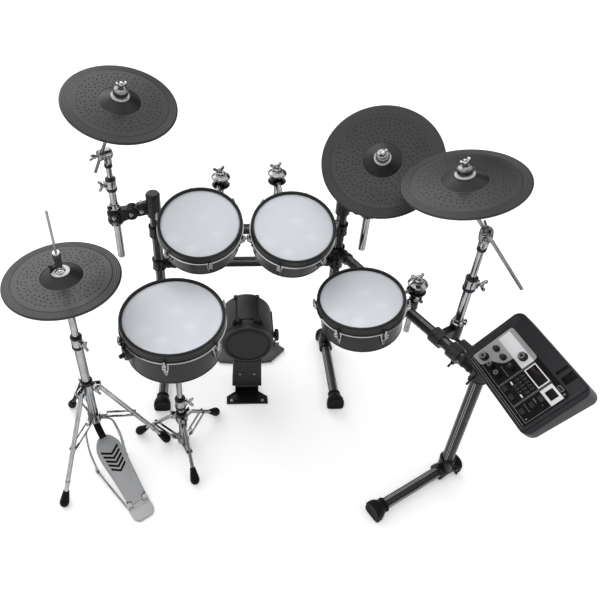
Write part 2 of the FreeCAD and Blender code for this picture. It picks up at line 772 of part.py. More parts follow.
def brace_hub(centre, height, bore, leg_radius, turns):
    """Lower hub ring with tabs that the brace bars straddle."""
    ring = turned([(bore, -HUB_H / 2), (HUB_R, -HUB_H / 2), (HUB_R, HUB_H / 2), (bore, HUB_H / 2)],
                  centre + UP * height)
    parts = [ring]
    for turn in turns:
        frame = FreeCAD.Placement(centre + UP * height, FreeCAD.Rotation(UP, turn))
        parts.append(placed(block(V(HUB_R - 3, -leg_radius, -EAR_H / 2),
                                  V(HUB_R + EAR_REACH, leg_radius, EAR_H / 2)), frame))
    return fused(parts)


def tripods():
    """Each tripod: axis, upper hub, lower hub, tube radius, leg radius, foot radius and leg turns."""
    return [(HIHAT, HIHAT_HUB_Z, HIHAT_LOW_HUB_Z, HIHAT_BASE_R, HIHAT_LEG_R, HIHAT_FOOT_R,
             [HIHAT_FOOT_TURN + 120 * k for k in range(3)]),
            (SNARE_AXIS, SNARE_HUB_Z, SNARE_LOW_HUB_Z, SNARE_BASE_R, SNARE_LEG_R, SNARE_FOOT_R,
             [SNARE_FOOT_TURN + 120 * k for k in range(3)])]


def leg_line(centre, hub_z, foot_radius, turn):
    """Start and end of a leg's axis."""
    out = heading(turn)
    start = centre + out * (HUB_R + EAR_REACH * 0.5) + UP * hub_z
    return start, centre + out * foot_radius + UP * FOOT_SEAT_Z


def tripod_hubs():
    """Upper and lower hubs of the hi-hat and snare tripods."""
    hubs = []
    for centre, hub_z, low_z, tube, leg, _, turns in tripods():
        hubs.append(tripod_hub(centre, hub_z, tube + SEAT, leg, turns))
        hubs.append(brace_hub(centre, low_z, tube + SEAT, leg, turns))
    return hubs


def brace_bar(centre, low_z, line, leg_radius, turn, side):
    """Flat bar beside a leg, from the lower hub's tab to the middle of the leg."""
    start, end = line
    meet = start + (end - start) * 0.5
    reach = (V(meet.x, meet.y, 0) - V(centre.x, centre.y, 0)).Length
    near = V(HUB_R + EAR_REACH * 0.5, 0, low_z)
    far = V(reach, 0, meet.z)
    along = unit(far - near)
    lift = V(-along.z, 0, along.x) * BRACE_H / 2
    ends = [near - along * 8 - lift, far + along * 8 - lift, far + along * 8 + lift, near - along * 8 + lift]
    offset = leg_radius + SEAT
    low = offset if side > 0 else -offset - BRACE_T
    bar = Part.Face(Part.makePolygon(ends + ends[:1])).extrude(V(0, BRACE_T, 0))
    bar.translate(V(0, low, 0))
    return placed(bar, FreeCAD.Placement(centre, FreeCAD.Rotation(UP, turn)))


def tripod_legs():
    """Legs of both tripods."""
    legs = []
    for centre, hub_z, _, _, leg, foot_radius, turns in tripods():
        for turn in turns:
            start, end = leg_line(centre, hub_z, foot_radius, turn)
            legs.append(rod(start, end, leg))
    return legs


def tripod_braces():
    """Pairs of flat bars that tie the legs to the lower hubs."""
    braces = []
    for centre, hub_z, low_z, _, leg, foot_radius, turns in tripods():
        for turn in turns:
            line = leg_line(centre, hub_z, foot_radius, turn)
            braces += [brace_bar(centre, low_z, line, leg, turn, side) for side in (-1, 1)]
    return braces


def tripod_feet():
    """Rubber tips of the tripod legs, cut flat on the floor."""
    feet = []
    for centre, hub_z, _, _, leg, foot_radius, turns in tripods():
        for turn in turns:
            start, end = leg_line(centre, hub_z, foot_radius, turn)
            bore = leg + SEAT
            profile = [(bore, -FOOT_TIP_L), (bore + 3, -FOOT_TIP_L), (FOOT_TIP_R, -8), (FOOT_TIP_R, 6),
                       (FOOT_TIP_R * 0.6, 16), (0, 18), (0, SEAT), (bore, SEAT)]
            tip = turned(profile, end, end - start)
            reach = FOOT_TIP_R * 5
            feet.append(tip.common(block(V(end.x - reach, end.y - reach, 0),
                                         V(end.x + reach, end.y + reach, reach))))
    return feet


def pad(radius, bell_share):
    """Rubber cymbal pad about its own axis, edge plane at zero, with a free hole for its rod."""
    bell = radius * bell_share
    rise = PAD_EDGE + PAD_BOW
    top = rise + BELL_H
    profile = [(PAD_HOLE_R, top - PAD_SHELL), (BELL_TOP_R - 3, top - PAD_SHELL), (bell - 4, rise - PAD_SHELL),
               (radius - 14, 0), (radius - 2, 0), (radius, 2), (radius, PAD_EDGE - 2), (radius - 3, PAD_EDGE),
               (bell, rise), (BELL_TOP_R + 6, top - 2), (BELL_TOP_R, top), (PAD_HOLE_R, top)]
    return turned(profile)


def hub_middle(radius):
    """Height of the middle of a pad's hub above its edge plane."""
    return PAD_EDGE + PAD_BOW + BELL_H - PAD_SHELL / 2


def cymbal_stands():
    """Each cymbal stand: name, tube axis, collar and tilter heights, pad place, size and boom counter."""
    return [("left", LEFT_TUBE, LEFT_COLLAR_Z, LEFT_TILT_Z, LEFT_PAD, unit(LEFT_PAD_N), SMALL_PAD_R,
             BELL_SHARE, LEFT_COUNTER),
            ("mid", MID_TUBE, MID_COLLAR_Z, MID_TILT_Z, MID_PAD, unit(MID_PAD_N), LARGE_PAD_R,
             LARGE_BELL_SHARE, MID_COUNTER),
            ("right", RIGHT_TUBE, RIGHT_COLLAR_Z, RIGHT_TILT_Z, RIGHT_PAD, unit(RIGHT_PAD_N), SMALL_PAD_R,
             BELL_SHARE,
             RIGHT_COUNTER)]


def boom_frame(tube, tilt_z, centre, normal):
    """Tilter point, tilter axis and boom end under the pad."""
    pivot = tube + UP * tilt_z
    end = centre - normal * SEAT_DROP
    plan = V(end.x - pivot.x, end.y - pivot.y, 0)
    across = unit(plan.cross(UP))
    return pivot, across, end


def upper_tube(tube, collar_z, tilt_z, across):
    """Sliding inner tube with the tilter's fixed half on top."""
    low = max(collar_z + COLLAR_H - TUBE_TAIL, 0)
    pivot = tube + UP * tilt_z
    column = pipe(tube + UP * low, tube + UP * (tilt_z - TILTER_R), UPPER_TUBE_R, UPPER_TUBE_R - TUBE_WALL)
    neck = turned([(0, -TILTER_R - 18), (UPPER_TUBE_R + 3, -TILTER_R - 18),
                   (UPPER_TUBE_R + 5, -TILTER_R - 10),
                   (UPPER_TUBE_R + 1, 0), (0, 0)], pivot)
    disc = rod(pivot - across * TILTER_HALF_W, pivot + across * (TILTER_HALF_W - CLEAR), TILTER_R)
    neck = neck.cut(rod(pivot + across * (TILTER_HALF_W - CLEAR), pivot + across * TILTER_R * 2,
                        TILTER_R * 2))
    return fused([column, neck, disc])


def boom(tube, tilt_z, centre, normal, radius, counter):
    """Boom rod with its tilter half, and the cymbal rod with its seat, felts and wing nut."""
    pivot, across, end = boom_frame(tube, tilt_z, centre, normal)
    clamp = pivot + across * BOOM_OFFSET
    tip = end + across * BOOM_OFFSET - across * across.dot(end + across * BOOM_OFFSET - clamp)
    along = unit(tip - clamp)
    disc = rod(pivot + across * TILTER_HALF_W, pivot + across * (BOOM_OFFSET + BOOM_CLAMP_R), TILTER_R)
    bar = rod(clamp - along * counter, tip, BOOM_R)
    knuckle = rod(tip + across * BOOM_CLAMP_R, end - across * BOOM_CLAMP_R * 0.8, BOOM_CLAMP_R * 1.1)
    middle = hub_middle(radius)
    low = middle - PAD_SHELL / 2 - SEAT_GAP
    high = middle + PAD_SHELL / 2 + SEAT_GAP
    post = turned([(0, -SEAT_DROP), (CYMBAL_ROD_R + 2, -SEAT_DROP), (CYMBAL_ROD_R + 2, low - 24),
                   (SEAT_R, low - 14),
                   (SEAT_R, low - 6), (SEAT_TOP_R, low), (CYMBAL_ROD_R, low), (CYMBAL_ROD_R, high),
                   (SEAT_TOP_R, high),
                   (SEAT_R - 2, high + 6), (SEAT_R - 2, high + 16), (CYMBAL_ROD_R + 3, high + 18),
                   (CYMBAL_ROD_R + 3, high + STACK_H - 26), (CYMBAL_ROD_R, high + STACK_H - 26),
                   (CYMBAL_ROD_R, high + STACK_H), (0, high + STACK_H)], centre, normal)
    nut = wing_bolt(centre + normal * (high + STACK_H - 34), normal, across, 8)
    grip = wing_bolt(clamp + across * BOOM_CLAMP_R * 0.5, across, along, BOOM_CLAMP_R * 0.5 + 8)
    return fused([disc, bar, knuckle, post, nut, grip])


def hihat_upper_tube():
    """Sliding tube of the hi-hat stand with the seat cup on top."""
    low = HIHAT_COLLAR_Z + COLLAR_H - TUBE_TAIL
    tube = pipe(HIHAT + UP * low, HIHAT + UP * (HIHAT_SEAT_Z - 20), HIHAT_TUBE_R, HIHAT_ROD_R + 2)
    bore = HIHAT_ROD_R + RUN
    cup = turned([(bore, HIHAT_SEAT_Z - 30), (HIHAT_TUBE_R + 4, HIHAT_SEAT_Z - 30),
                  (HIHAT_SEAT_R, HIHAT_SEAT_Z - 10),
                  (HIHAT_SEAT_R, HIHAT_SEAT_Z), (bore, HIHAT_SEAT_Z)], HIHAT)
    return fused([tube, cup])


def hihat_rod():
    """Pull rod with the clutch that holds the pad, and the strap at its foot."""
    middle = HIHAT_PAD_Z + hub_middle(SMALL_PAD_R)
    low = middle - PAD_SHELL / 2 - SEAT
    high = middle + PAD_SHELL / 2 + SEAT
    spindle = turned([(0, HIHAT_ROD_LOW), (HIHAT_ROD_R, HIHAT_ROD_LOW), (HIHAT_ROD_R, low - 22),
                      (CLUTCH_R, low - 18),
                      (CLUTCH_R, low), (HIHAT_ROD_R, low), (HIHAT_ROD_R, high), (CLUTCH_R + 2, high),
                      (CLUTCH_R + 2, high + 8),
                      (CLUTCH_R - 4, high + 10), (CLUTCH_R - 4, high + 30), (CLUTCH_R, high + 32),
                      (CLUTCH_R, high + 46),
                      (HIHAT_ROD_R, high + 48), (HIHAT_ROD_R, HIHAT_ROD_TOP), (0, HIHAT_ROD_TOP)], HIHAT)
    screw = wing_bolt(HIHAT + UP * (high + 39) + heading(200) * (CLUTCH_R - 2), heading(200), UP, 8)
    frame = FreeCAD.Placement(HIHAT, FreeCAD.Rotation(UP, PEDAL_TURN))
    foot = block(V(-STRAP_T, -STRAP_W / 2, HIHAT_ROD_LOW - 2), V(STRAP_T, STRAP_W / 2, HIHAT_ROD_LOW + 10))
    reach = PEDAL_TOE + STRAP_T * 2
    drop = board_top(reach) + STRAP_GAP
    side = [V(-STRAP_T / 2, 0, HIHAT_ROD_LOW), V(STRAP_T / 2, 0, HIHAT_ROD_LOW),
            V(reach + STRAP_T, 0, drop), V(reach, 0, drop)]
    strap = Part.Face(Part.makePolygon(side + side[:1])).extrude(V(0, STRAP_W, 0))
    strap.translate(V(0, -STRAP_W / 2, 0))
    return fused([spindle, screw, placed(fused([foot, strap]), frame)])


def hihat_pad():
    """Hi-hat pad: the hole grips the rod and its clutch."""
    body = pad(SMALL_PAD_R, BELL_SHARE)
    top = PAD_EDGE + PAD_BOW + BELL_H
    bush = turned([(HIHAT_ROD_R + SEAT, top - PAD_SHELL), (PAD_HOLE_R + 2, top - PAD_SHELL),
                   (PAD_HOLE_R + 2, top),
                   (HIHAT_ROD_R + SEAT, top)])
    return placed(fused([body, bush]), FreeCAD.Placement(HIHAT + UP * HIHAT_PAD_Z, FreeCAD.Rotation()))


def pedal_frame():
    """Placement of the pedal: local X runs from the rod to the heel."""
    return FreeCAD.Placement(HIHAT, FreeCAD.Rotation(UP, PEDAL_TURN))


def board_slope():
    """Rest angle of the footboard above level, in radians."""
    return math.atan2(PEDAL_TOE_Z - PEDAL_HINGE_Z, PEDAL_HINGE - PEDAL_TOE)


def board_top(reach):
    """Height of the footboard's upper face at a distance from the rod."""
    slope = board_slope()
    return PEDAL_HINGE_Z + (PEDAL_HINGE - reach) * math.tan(slope) + PEDAL_T / math.cos(slope)


def pedal_board():
    """Footboard: a waisted plate on a knuckle at the heel."""
    slope = board_slope()
    length = (PEDAL_HINGE - PEDAL_TOE) / math.cos(slope)
    start = KNUCKLE_R + CLEAR * 8
    tongue = PEDAL_HEEL_W * 0.3
    outline = [V(0, -tongue, 0), V(start, -tongue, 0), V(start, -PEDAL_HEEL_W / 2, 0),
               V(length * 0.45, -PEDAL_WAIST_W * 0.43, 0), V(length * 0.7, -PEDAL_WAIST_W / 2, 0),
               V(length * 0.82, -PEDAL_WAIST_W * 0.48, 0), V(length * 0.94, -PEDAL_TOE_W * 0.45, 0),
               V(length, -PEDAL_TOE_W * 0.25, 0)]
    mirror = [V(p.x, -p.y, 0) for p in reversed(outline)]
    board = plate(outline + mirror, PEDAL_T)
    rib = block(V(start, -PEDAL_HEEL_W * 0.2, -5), V(length * 0.9, PEDAL_HEEL_W * 0.2, 0))
    board = fused([board, rib])
    tilt = FreeCAD.Placement(V(PEDAL_HINGE, 0, PEDAL_HINGE_Z),
                             FreeCAD.Rotation(V(0, 1, 0), math.degrees(slope) + 180))
    board = placed(board, tilt.multiply(FreeCAD.Placement(V(0, 0, 0), FreeCAD.Rotation(V(1, 0, 0), 180))))
    half = PEDAL_HEEL_W * 0.3
    hinge = V(PEDAL_HINGE, 0, PEDAL_HINGE_Z)
    knuckle = rod(hinge - V(0, half, 0), hinge + V(0, half, 0), KNUCKLE_R)
    board = fused([board, knuckle]).cut(rod(hinge - V(0, HEEL_W, 0), hinge + V(0, HEEL_W, 0),
                                            HINGE_PIN_R + RUN))
    return placed(board, pedal_frame())


def pedal_rail(side):
    """Bent rail from the lower hub down beside the board to the heel."""
    spread = RAIL_SPREAD * side
    hub_low = HIHAT_LOW_HUB_Z - HUB_H / 2 - CLEAR
    points = [V(6, 15 * side, hub_low - RAIL_R), V(24, spread, hub_low - RAIL_R * 2),
              V(RAIL_BEND, spread, RAIL_R + 6),
              V(PEDAL_HINGE - KNUCKLE_R, HEEL_W / 2 * side, RAIL_R + 2)]
    pieces = [rod(a, b, RAIL_R) for a, b in zip(points, points[1:])]
    pieces += [Part.makeSphere(RAIL_R, p) for p in points[1:-1]]
    return pieces


def pedal_base():
    """Heel plate, hinge pin, side rails and the bridge under the stand's tube."""
    hinge = V(PEDAL_HINGE, 0, PEDAL_HINGE_Z)
    half = PEDAL_HEEL_W * 0.3 + CLEAR
    heel = block(V(PEDAL_HINGE + KNUCKLE_R + CLEAR, -HEEL_W / 2, 0),
                 V(PEDAL_HINGE + KNUCKLE_R + HEEL_L, HEEL_W / 2, HEEL_H))
    heel = heel.makeFillet(12, [e for e in upright_edges(heel) if e.BoundBox.XMin > PEDAL_HINGE + HEEL_L / 2])
    parts = [heel]
    for side in (-1, 1):
        low, high = sorted((half * side, HEEL_W / 2 * side))
        ear = block(V(PEDAL_HINGE - KNUCKLE_R, low, 0),
                    V(PEDAL_HINGE + KNUCKLE_R + 4, high, PEDAL_HINGE_Z + KNUCKLE_R))
        parts += [ear] + pedal_rail(side)
    parts.append(rod(hinge - V(0, HEEL_W / 2, 0), hinge + V(0, HEEL_W / 2, 0), HINGE_PIN_R))
    hub_low = HIHAT_LOW_HUB_Z - HUB_H / 2 - CLEAR
    bridge = turned([(HIHAT_BASE_R - 4, hub_low - RAIL_R * 2), (HUB_R, hub_low - RAIL_R * 2),
                     (HUB_R, hub_low),
                     (HIHAT_BASE_R - 4, hub_low)])
    return placed(fused(parts + [bridge]), pedal_frame())


def drum_frame(centre, normal):
    """Placement of a drum: head centre, axis up through the head."""
    return aligned(centre, normal, V(1, 0, 0))


def drum_head(radius):
    """Playing head."""
    return Part.makeCylinder(radius - SEAT, HEAD_T, V(0, 0, -HEAD_T))


def drum_shell(radius, depth):
    """Closed shell under the head."""
    outer = radius + SHELL_OUT
    top = -HEAD_T - SEAT
    body = turned([(0, -depth), (outer - 4, -depth), (outer, -depth + 4), (outer, top),
                   (outer - SHELL_WALL, top),
                   (outer - SHELL_WALL, -depth + SHELL_FLOOR), (0, -depth + SHELL_FLOOR)])
    return body


def drum_rim(radius):
    """Rubber rim with a rounded lip that holds the head."""
    outer = radius + RIM_W
    bottom = RIM_ABOVE - RIM_H
    shell = radius + SHELL_OUT + SEAT
    return turned([(radius, -HEAD_T), (radius, RIM_ABOVE - 3), (radius + 3, RIM_ABOVE),
                   (outer - 3, RIM_ABOVE),
                   (outer, RIM_ABOVE - 3), (outer, bottom), (shell, bottom), (shell, -HEAD_T)])


def drum_hoop(radius):
    """Metal hoop under the rim."""
    bottom = RIM_ABOVE - RIM_H - SEAT
    shell = radius + SHELL_OUT + SEAT
    outer = radius + RIM_W + HOOP_OUT
    return turned([(shell, bottom - HOOP_T), (outer, bottom - HOOP_T), (outer, bottom), (shell, bottom)])


def drum_lug(radius, turn):
    """Lug on the shell with its tension bolt standing outside the hoop."""
    under = RIM_ABOVE - RIM_H - HOOP_T - SEAT * 2
    inner = radius + SHELL_OUT + SEAT
    reach = RIM_W + HOOP_OUT - SHELL_OUT + LUG_HEAD_R * 2
    side = [V(inner, 0, under - LUG_H), V(inner + LUG_D, 0, under - LUG_H + 4),
            V(inner + reach, 0, under - 8),
            V(inner + reach, 0, under), V(inner, 0, under)]
    lug = Part.Face(Part.makePolygon(side + side[:1])).extrude(V(0, LUG_W, 0))
    lug.translate(V(0, -LUG_W / 2, 0))
    axis = radius + RIM_W + HOOP_OUT + LUG_HEAD_R
    bolt = rod(V(axis, 0, under - 4), V(axis, 0, under + LUG_BOLT_H), LUG_BOLT_R)
    head = rod(V(axis, 0, under + LUG_BOLT_H - 6), V(axis, 0, under + LUG_BOLT_H), LUG_HEAD_R - SEAT)
    return placed(fused([lug.cut(shell_space(radius)), bolt, head]),
                  FreeCAD.Placement(FLOOR, FreeCAD.Rotation(UP, turn)))


def shell_space(radius):
    """Room that a shell takes, for pieces seated on its side."""
    return Part.makeCylinder(radius + SHELL_OUT + SEAT, radius * 3, V(0, 0, -radius * 2))


def drum_hardware(radius, first_turn):
    """Rim, hoop and lugs of one drum."""
    lugs = [drum_lug(radius, first_turn + 360 * k / LUGS) for k in range(LUGS)]
    return [drum_rim(radius), drum_hoop(radius)] + lugs


def tom_normal():
    """Axis of the two rack toms, leaning to the player."""
    return V(0, -math.sin(math.radians(TOM_TILT)), math.cos(math.radians(TOM_TILT)))


def toms():
    """Each tom: name, head centre, axis, ball centre and lug turn."""
    holders = [foot + UP * ball_z for _, _, foot, ball_z in holder_places()]
    return [("left_tom", LEFT_TOM, tom_normal(), holders[0], LEFT_LUG_TURN),
            ("right_tom", RIGHT_TOM, tom_normal(), holders[1], RIGHT_LUG_TURN),
            ("floor_tom", FLOOR_TOM, unit(FLOOR_TOM_N), holders[2], FLOOR_LUG_TURN)]


def arm_direction(centre, normal, ball):
    """Direction from the ball to the nearest point of the drum's side, square to the drum's axis."""
    offset = centre - ball
    return unit(offset - normal * offset.dot(normal))


def tom_arm(centre, normal, ball):
    """Ball, arm rod and the bracket on the shell."""
    toward = arm_direction(centre, normal, ball)
    offset = centre - ball
    gap = (offset - normal * offset.dot(normal)).Length - TOM_HEAD_R - SHELL_OUT - SEAT
    seat = ball + toward * gap
    bracket = rod(seat - toward * BRACKET_T, seat + toward * BRACKET_T, BRACKET_R)
    room = Part.makeCylinder(TOM_HEAD_R + SHELL_OUT + SEAT, TOM_DEPTH * 4, centre - normal * TOM_DEPTH * 2,
                             normal)
    return fused([Part.makeSphere(BALL_R, ball), rod(ball, seat, ARM_ROD_R), bracket.cut(room)])


def tom_holders():
    """Chrome rods with ball sockets on the rack's clamps."""
    pieces = []
    for (name, centre, normal, ball, _), (point, _, foot, ball_z) in zip(toms(), holder_places()):
        toward = arm_direction(centre, normal, ball)
        pieces.append(rod(foot + UP * (point.z - HOLDER_BELOW), foot + UP * (ball_z - SOCKET_R + 2),
                          HOLDER_ROD_R))
        socket = turned([(0, -SOCKET_R), (SOCKET_R * 0.7, -SOCKET_R), (SOCKET_R, -SOCKET_R * 0.5),
                         (SOCKET_R, SOCKET_R * 0.5),
                         (SOCKET_R * 0.7, SOCKET_R), (0, SOCKET_R)], ball)
        socket = socket.cut(Part.makeSphere(BALL_R + CLEAR, ball))
        pieces[-1] = fused([pieces[-1], socket.cut(rod(ball, ball + toward * SOCKET_R * 2, SOCKET_MOUTH_R))])
    return pieces


def snare_normal():
    """Axis of the snare, leaning slightly to the player."""
    return V(0, -math.sin(math.radians(SNARE_TILT)), math.cos(math.radians(SNARE_TILT)))


def snare_centre():
    """Centre of the snare's head above the tilter."""
    normal = snare_normal()
    return SNARE_AXIS + UP * SNARE_TILT_Z + normal * (SNARE_HEAD_Z - SNARE_TILT_Z)


def snare_upper_tube():
    """Sliding tube of the snare stand with the basket's tilter fork."""
    low = SNARE_COLLAR_Z + COLLAR_H - TUBE_TAIL + 60
    pivot = SNARE_AXIS + UP * SNARE_TILT_Z
    across = V(1, 0, 0)
    column = pipe(SNARE_AXIS + UP * low, pivot - UP * TILTER_R, SNARE_TUBE_R, SNARE_TUBE_R - TUBE_WALL)
    neck = turned([(0, -TILTER_R - 24), (SNARE_TUBE_R + 4, -TILTER_R - 24), (SNARE_TUBE_R + 4, -TILTER_R - 6),
                   (SNARE_TUBE_R, 0), (0, 0)], pivot)
    neck = neck.cut(rod(pivot + across * (TILTER_HALF_W - CLEAR), pivot + across * TILTER_R * 2,
                        TILTER_R * 2))
    disc = rod(pivot - across * TILTER_HALF_W, pivot + across * (TILTER_HALF_W - CLEAR), TILTER_R)
    return fused([column, neck, disc])


def snare_basket():
    """Basket: tilter half, centre boss, three arms and rubber grips under the shell."""
    pivot = SNARE_AXIS + UP * SNARE_TILT_Z
    across = V(1, 0, 0)
    frame = drum_frame(snare_centre(), snare_normal())
    disc = rod(pivot + across * TILTER_HALF_W, pivot + across * (TILTER_HALF_W * 3), TILTER_R)
    bottom = -SNARE_DEPTH - SEAT
    boss_z = bottom - 58
    boss = placed(turned([(0, boss_z - 8), (BASKET_HUB_R, boss_z - 8), (BASKET_HUB_R, boss_z + 8),
                          (0, boss_z + 8)]), frame)
    stem_top = frame.multVec(V(TILTER_HALF_W * 2, 0, boss_z))
    stem = rod(pivot + across * TILTER_HALF_W * 2, stem_top, TILTER_HALF_W - 1)
    arms = []
    grips = []
    for k in range(3):
        out = heading(90 + 120 * k)
        start = frame.multVec(out * (BASKET_HUB_R - 5) + UP * boss_z)
        seat = frame.multVec(out * BASKET_GRIP_R + UP * (bottom - 16))
        arms.append(rod(start, seat, BASKET_ARM_R))
        arms.append(Part.makeSphere(BASKET_ARM_R, seat))
        grip = turned([(0, bottom - 26), (BASKET_TIP_R * 0.6, bottom - 26), (BASKET_TIP_R, bottom - 10),
                       (BASKET_TIP_R, bottom), (0, bottom)])
        grips.append(placed(grip, frame.multiply(FreeCAD.Placement(out * BASKET_GRIP_R, FreeCAD.Rotation()))))
    return [fused([disc, boss, stem] + arms + grips)]


def control_frame():
    """Placement of the snare's control box: local X points out of the shell."""
    turn = FreeCAD.Placement(FLOOR, FreeCAD.Rotation(UP, CONTROL_TURN))
    return drum_frame(snare_centre(), snare_normal()).multiply(turn)


def control_top():
    """Height of the control box's top edge below the head."""
    return RIM_ABOVE - RIM_H - HOOP_T - 10


def snare_control_box():
    """Small box on the snare's shell that carries a control knob."""
    inner = SNARE_HEAD_R + SHELL_OUT - 3
    high = control_top()
    body = block(V(inner, -CONTROL_W / 2, high - CONTROL_H), V(inner + CONTROL_D, CONTROL_W / 2, high))
    top = [e for e in body.Edges if e.BoundBox.ZMin > high - 0.01 and e.BoundBox.XLength > 1]
    body = body.makeFillet(CONTROL_W * 0.3, top)
    body = body.makeFillet(4, [e for e in upright_edges(body) if e.BoundBox.XMin > inner + 1])
    body = body.cut(shell_space(SNARE_HEAD_R))
    return placed(body, control_frame())


def control_axis():
    """Seat and direction of the snare's control knob."""
    frame = control_frame()
    seat = frame.multVec(V(SNARE_HEAD_R + SHELL_OUT - 3 + CONTROL_D + CLEAR, 0,
                           control_top() - CONTROL_H / 2))
    return seat, frame.Rotation.multVec(V(1, 0, 0))


def knurled_knob(radius, height, ribs):
    """Turned knob with a dished top and grip ribs round its side."""
    body = turned([(0, 0), (radius, 0), (radius, height * 0.25), (radius * 0.86, height * 0.35),
                   (radius * 0.8, height),
                   (radius * 0.5, height), (radius * 0.4, height - 1), (0, height - 1)])
    cuts = []
    for k in range(ribs):
        out = heading(360 * k / ribs) * radius * 0.93
        cuts.append(rod(out + UP * height * 0.45, out + UP * height * 1.2, radius * 0.17))
    return body.cut(Part.makeCompound(cuts))


def snare_knob():
    """Control knob of the snare."""
    seat, axis = control_axis()
    return placed(knurled_knob(CONTROL_KNOB_R, CONTROL_KNOB_L, 8), aligned(seat, axis))


def kick_lug(side, along):
    """Upright lug beside the top band with a hole through it towards the player."""
    back = V(0, 1, 0)
    half = KICK_BAND_W / 2
    rise = math.sqrt(KICK_R ** 2 - half ** 2)
    base = KICK + V((half + KICK_LUG_R * 0.6) * side, along, rise - KICK_LUG_H * 0.7)
    lug = rod(base, base + UP * KICK_LUG_H, KICK_LUG_R)
    eye = base + UP * (KICK_LUG_H - KICK_LUG_HOLE_R * 1.4)
    return lug.cut(rod(eye - back * KICK_LUG_R * 2, eye - back * KICK_LUG_R * 0.2, KICK_LUG_HOLE_R))


def kick_knob(side):
    """Clamp knob on the drum's flank."""
    edge = KICK + V((KICK_R - 4) * side, KICK_KNOB_BACK, 0)
    stem = KICK_KNOB_L * 0.35
    profile = [(0, 0), (KICK_KNOB_STEM_R, 0), (KICK_KNOB_STEM_R, stem), (KICK_KNOB_R, stem + 4),
               (KICK_KNOB_R, KICK_KNOB_L - 3), (KICK_KNOB_R - 4, KICK_KNOB_L), (0, KICK_KNOB_L)]
    return turned(profile, edge, V(side, 0, 0))


def kick_body():
    """Kick drum body: turned shell, top band with lugs beside it, and side knobs."""
    back = V(0, 1, 0)
    shell = turned([(0, 0), (KICK_RING_R, 0), (KICK_RING_R, KICK_RING_L), (KICK_R, KICK_RING_L + 6),
                    (KICK_R, KICK_L - 12), (KICK_R - 10, KICK_L), (0, KICK_L)], KICK, back)
    half = KICK_BAND_W / 2
    band_l = KICK_L - KICK_BAND_FRONT - KICK_BAND_REAR
    band = Part.makeCylinder(KICK_R + KICK_BAND_T, band_l, KICK + back * KICK_BAND_FRONT, back)
    band = band.common(block(KICK + V(-half, 0, 0), KICK + V(half, KICK_L, KICK_R * 2)))
    parts = [shell, band]
    for side in (-1, 1):
        parts += [kick_lug(side, along) for along in (KICK_LUG_INSET, KICK_L - KICK_LUG_INSET * 0.6)]
        parts.append(kick_knob(side))
    return fused(parts).cut(rod(KICK - back, KICK + back * KICK_PAD_T, KICK_PAD_R + SEAT))


def kick_pad():
    """Struck pad, slightly domed, set in the front of the drum."""
    front = KICK + V(0, KICK_PAD_T - SEAT, 0)
    return turned([(0, 0), (KICK_PAD_R, 0), (KICK_PAD_R, KICK_PAD_T - 2), (KICK_PAD_R - 6, KICK_PAD_T + 2),
                   (0, KICK_PAD_T + 4)],
                  front, V(0, -1, 0))


def upright_plate(points, depth):
    """Outline in the XZ plane, carried back along +Y by its depth."""
    return Part.Face(Part.makePolygon(points + points[:1])).extrude(V(0, depth, 0))


def kick_spur(foot, side):
    """Rear wing of the tower: it leaves the spine and bends back to its spur pin."""
    spine = SPINE_W / 2 - 1
    outline = [V(spine, SPUR_BACK, 0), V(SPUR_KNEE_X, SPUR_KNEE_Y, 0), V(SPUR_TIP_X, SPUR_TIP_Y, 0),
               V(SPUR_TIP_X - SPUR_W, SPUR_TIP_Y + SPUR_W * 0.2, 0),
               V(SPUR_KNEE_X - SPUR_W, SPUR_KNEE_Y + SPUR_W, 0), V(spine, SPUR_BACK + SPUR_W, 0)]
    pin_foot = V(SPUR_TIP_X - SPUR_W * 0.7, SPUR_TIP_Y - SPUR_W * 0.4, 0)
    pin = rod(pin_foot, pin_foot + UP * (SPUR_T + SPUR_PIN_H), SPUR_PIN_R)
    knob = rod(pin_foot + UP * (SPUR_T + SPUR_PIN_H - 7), pin_foot + UP * (SPUR_T + SPUR_PIN_H),
               SPUR_PIN_R * 2)
    wing = fused([plate(outline, SPUR_T), pin, knob])
    if side < 0:
        wing = wing.mirror(FLOOR, V(1, 0, 0))
    wing.translate(foot)
    return wing


def kick_stand():
    """Tower: flaring neck, pedal plate in front, spine and two rear wings on the floor."""
    foot = V(KICK.x, KICK.y, 0)
    half, low_half, waist = NECK_W / 2, NECK_LOW_W / 2, NECK_WAIST_W / 2
    wide = KICK_PLATE_W / 2
    neck = upright_plate([V(-low_half, 0, NECK_LOW_Z), V(low_half, 0, NECK_LOW_Z), V(half, 0, KICK.z),
                          V(-half, 0, KICK.z)], NECK_T)
    inner, low_inner = half - NECK_WALL, low_half - NECK_WALL
    hollow = upright_plate([V(-low_inner, 0, NECK_LOW_Z - 1), V(low_inner, 0, NECK_LOW_Z - 1),
                            V(inner, 0, KICK.z),
                            V(-inner, 0, KICK.z)], NECK_T)
    hollow.translate(V(0, NECK_WALL, 0))
    side_y = KICK_PLATE_SIDE - KICK_PLATE_FRONT
    outline = [V(-wide, -KICK_PLATE_FRONT, 0), V(wide, -KICK_PLATE_FRONT, 0), V(wide, side_y, 0),
               V(waist, 0, 0),
               V(waist, NECK_T, 0), V(-waist, NECK_T, 0), V(-waist, 0, 0), V(-wide, side_y, 0)]
    base = block(V(-waist, 2, 0), V(waist, NECK_T, NECK_LOW_Z + 1))
    spine = block(V(-SPINE_W / 2, NECK_WALL, 0), V(SPINE_W / 2, SPUR_BACK + SPUR_W, SPUR_T))
    tower = fused([neck.cut(hollow), base, plate(outline, KICK_PLATE_T), spine])
    tower.translate(foot)
    body = fused([tower] + [kick_spur(foot, side) for side in (-1, 1)])
    return body.cut(rod(KICK - V(0, 1, 0), KICK + V(0, KICK_L, 0), KICK_R + SEAT))


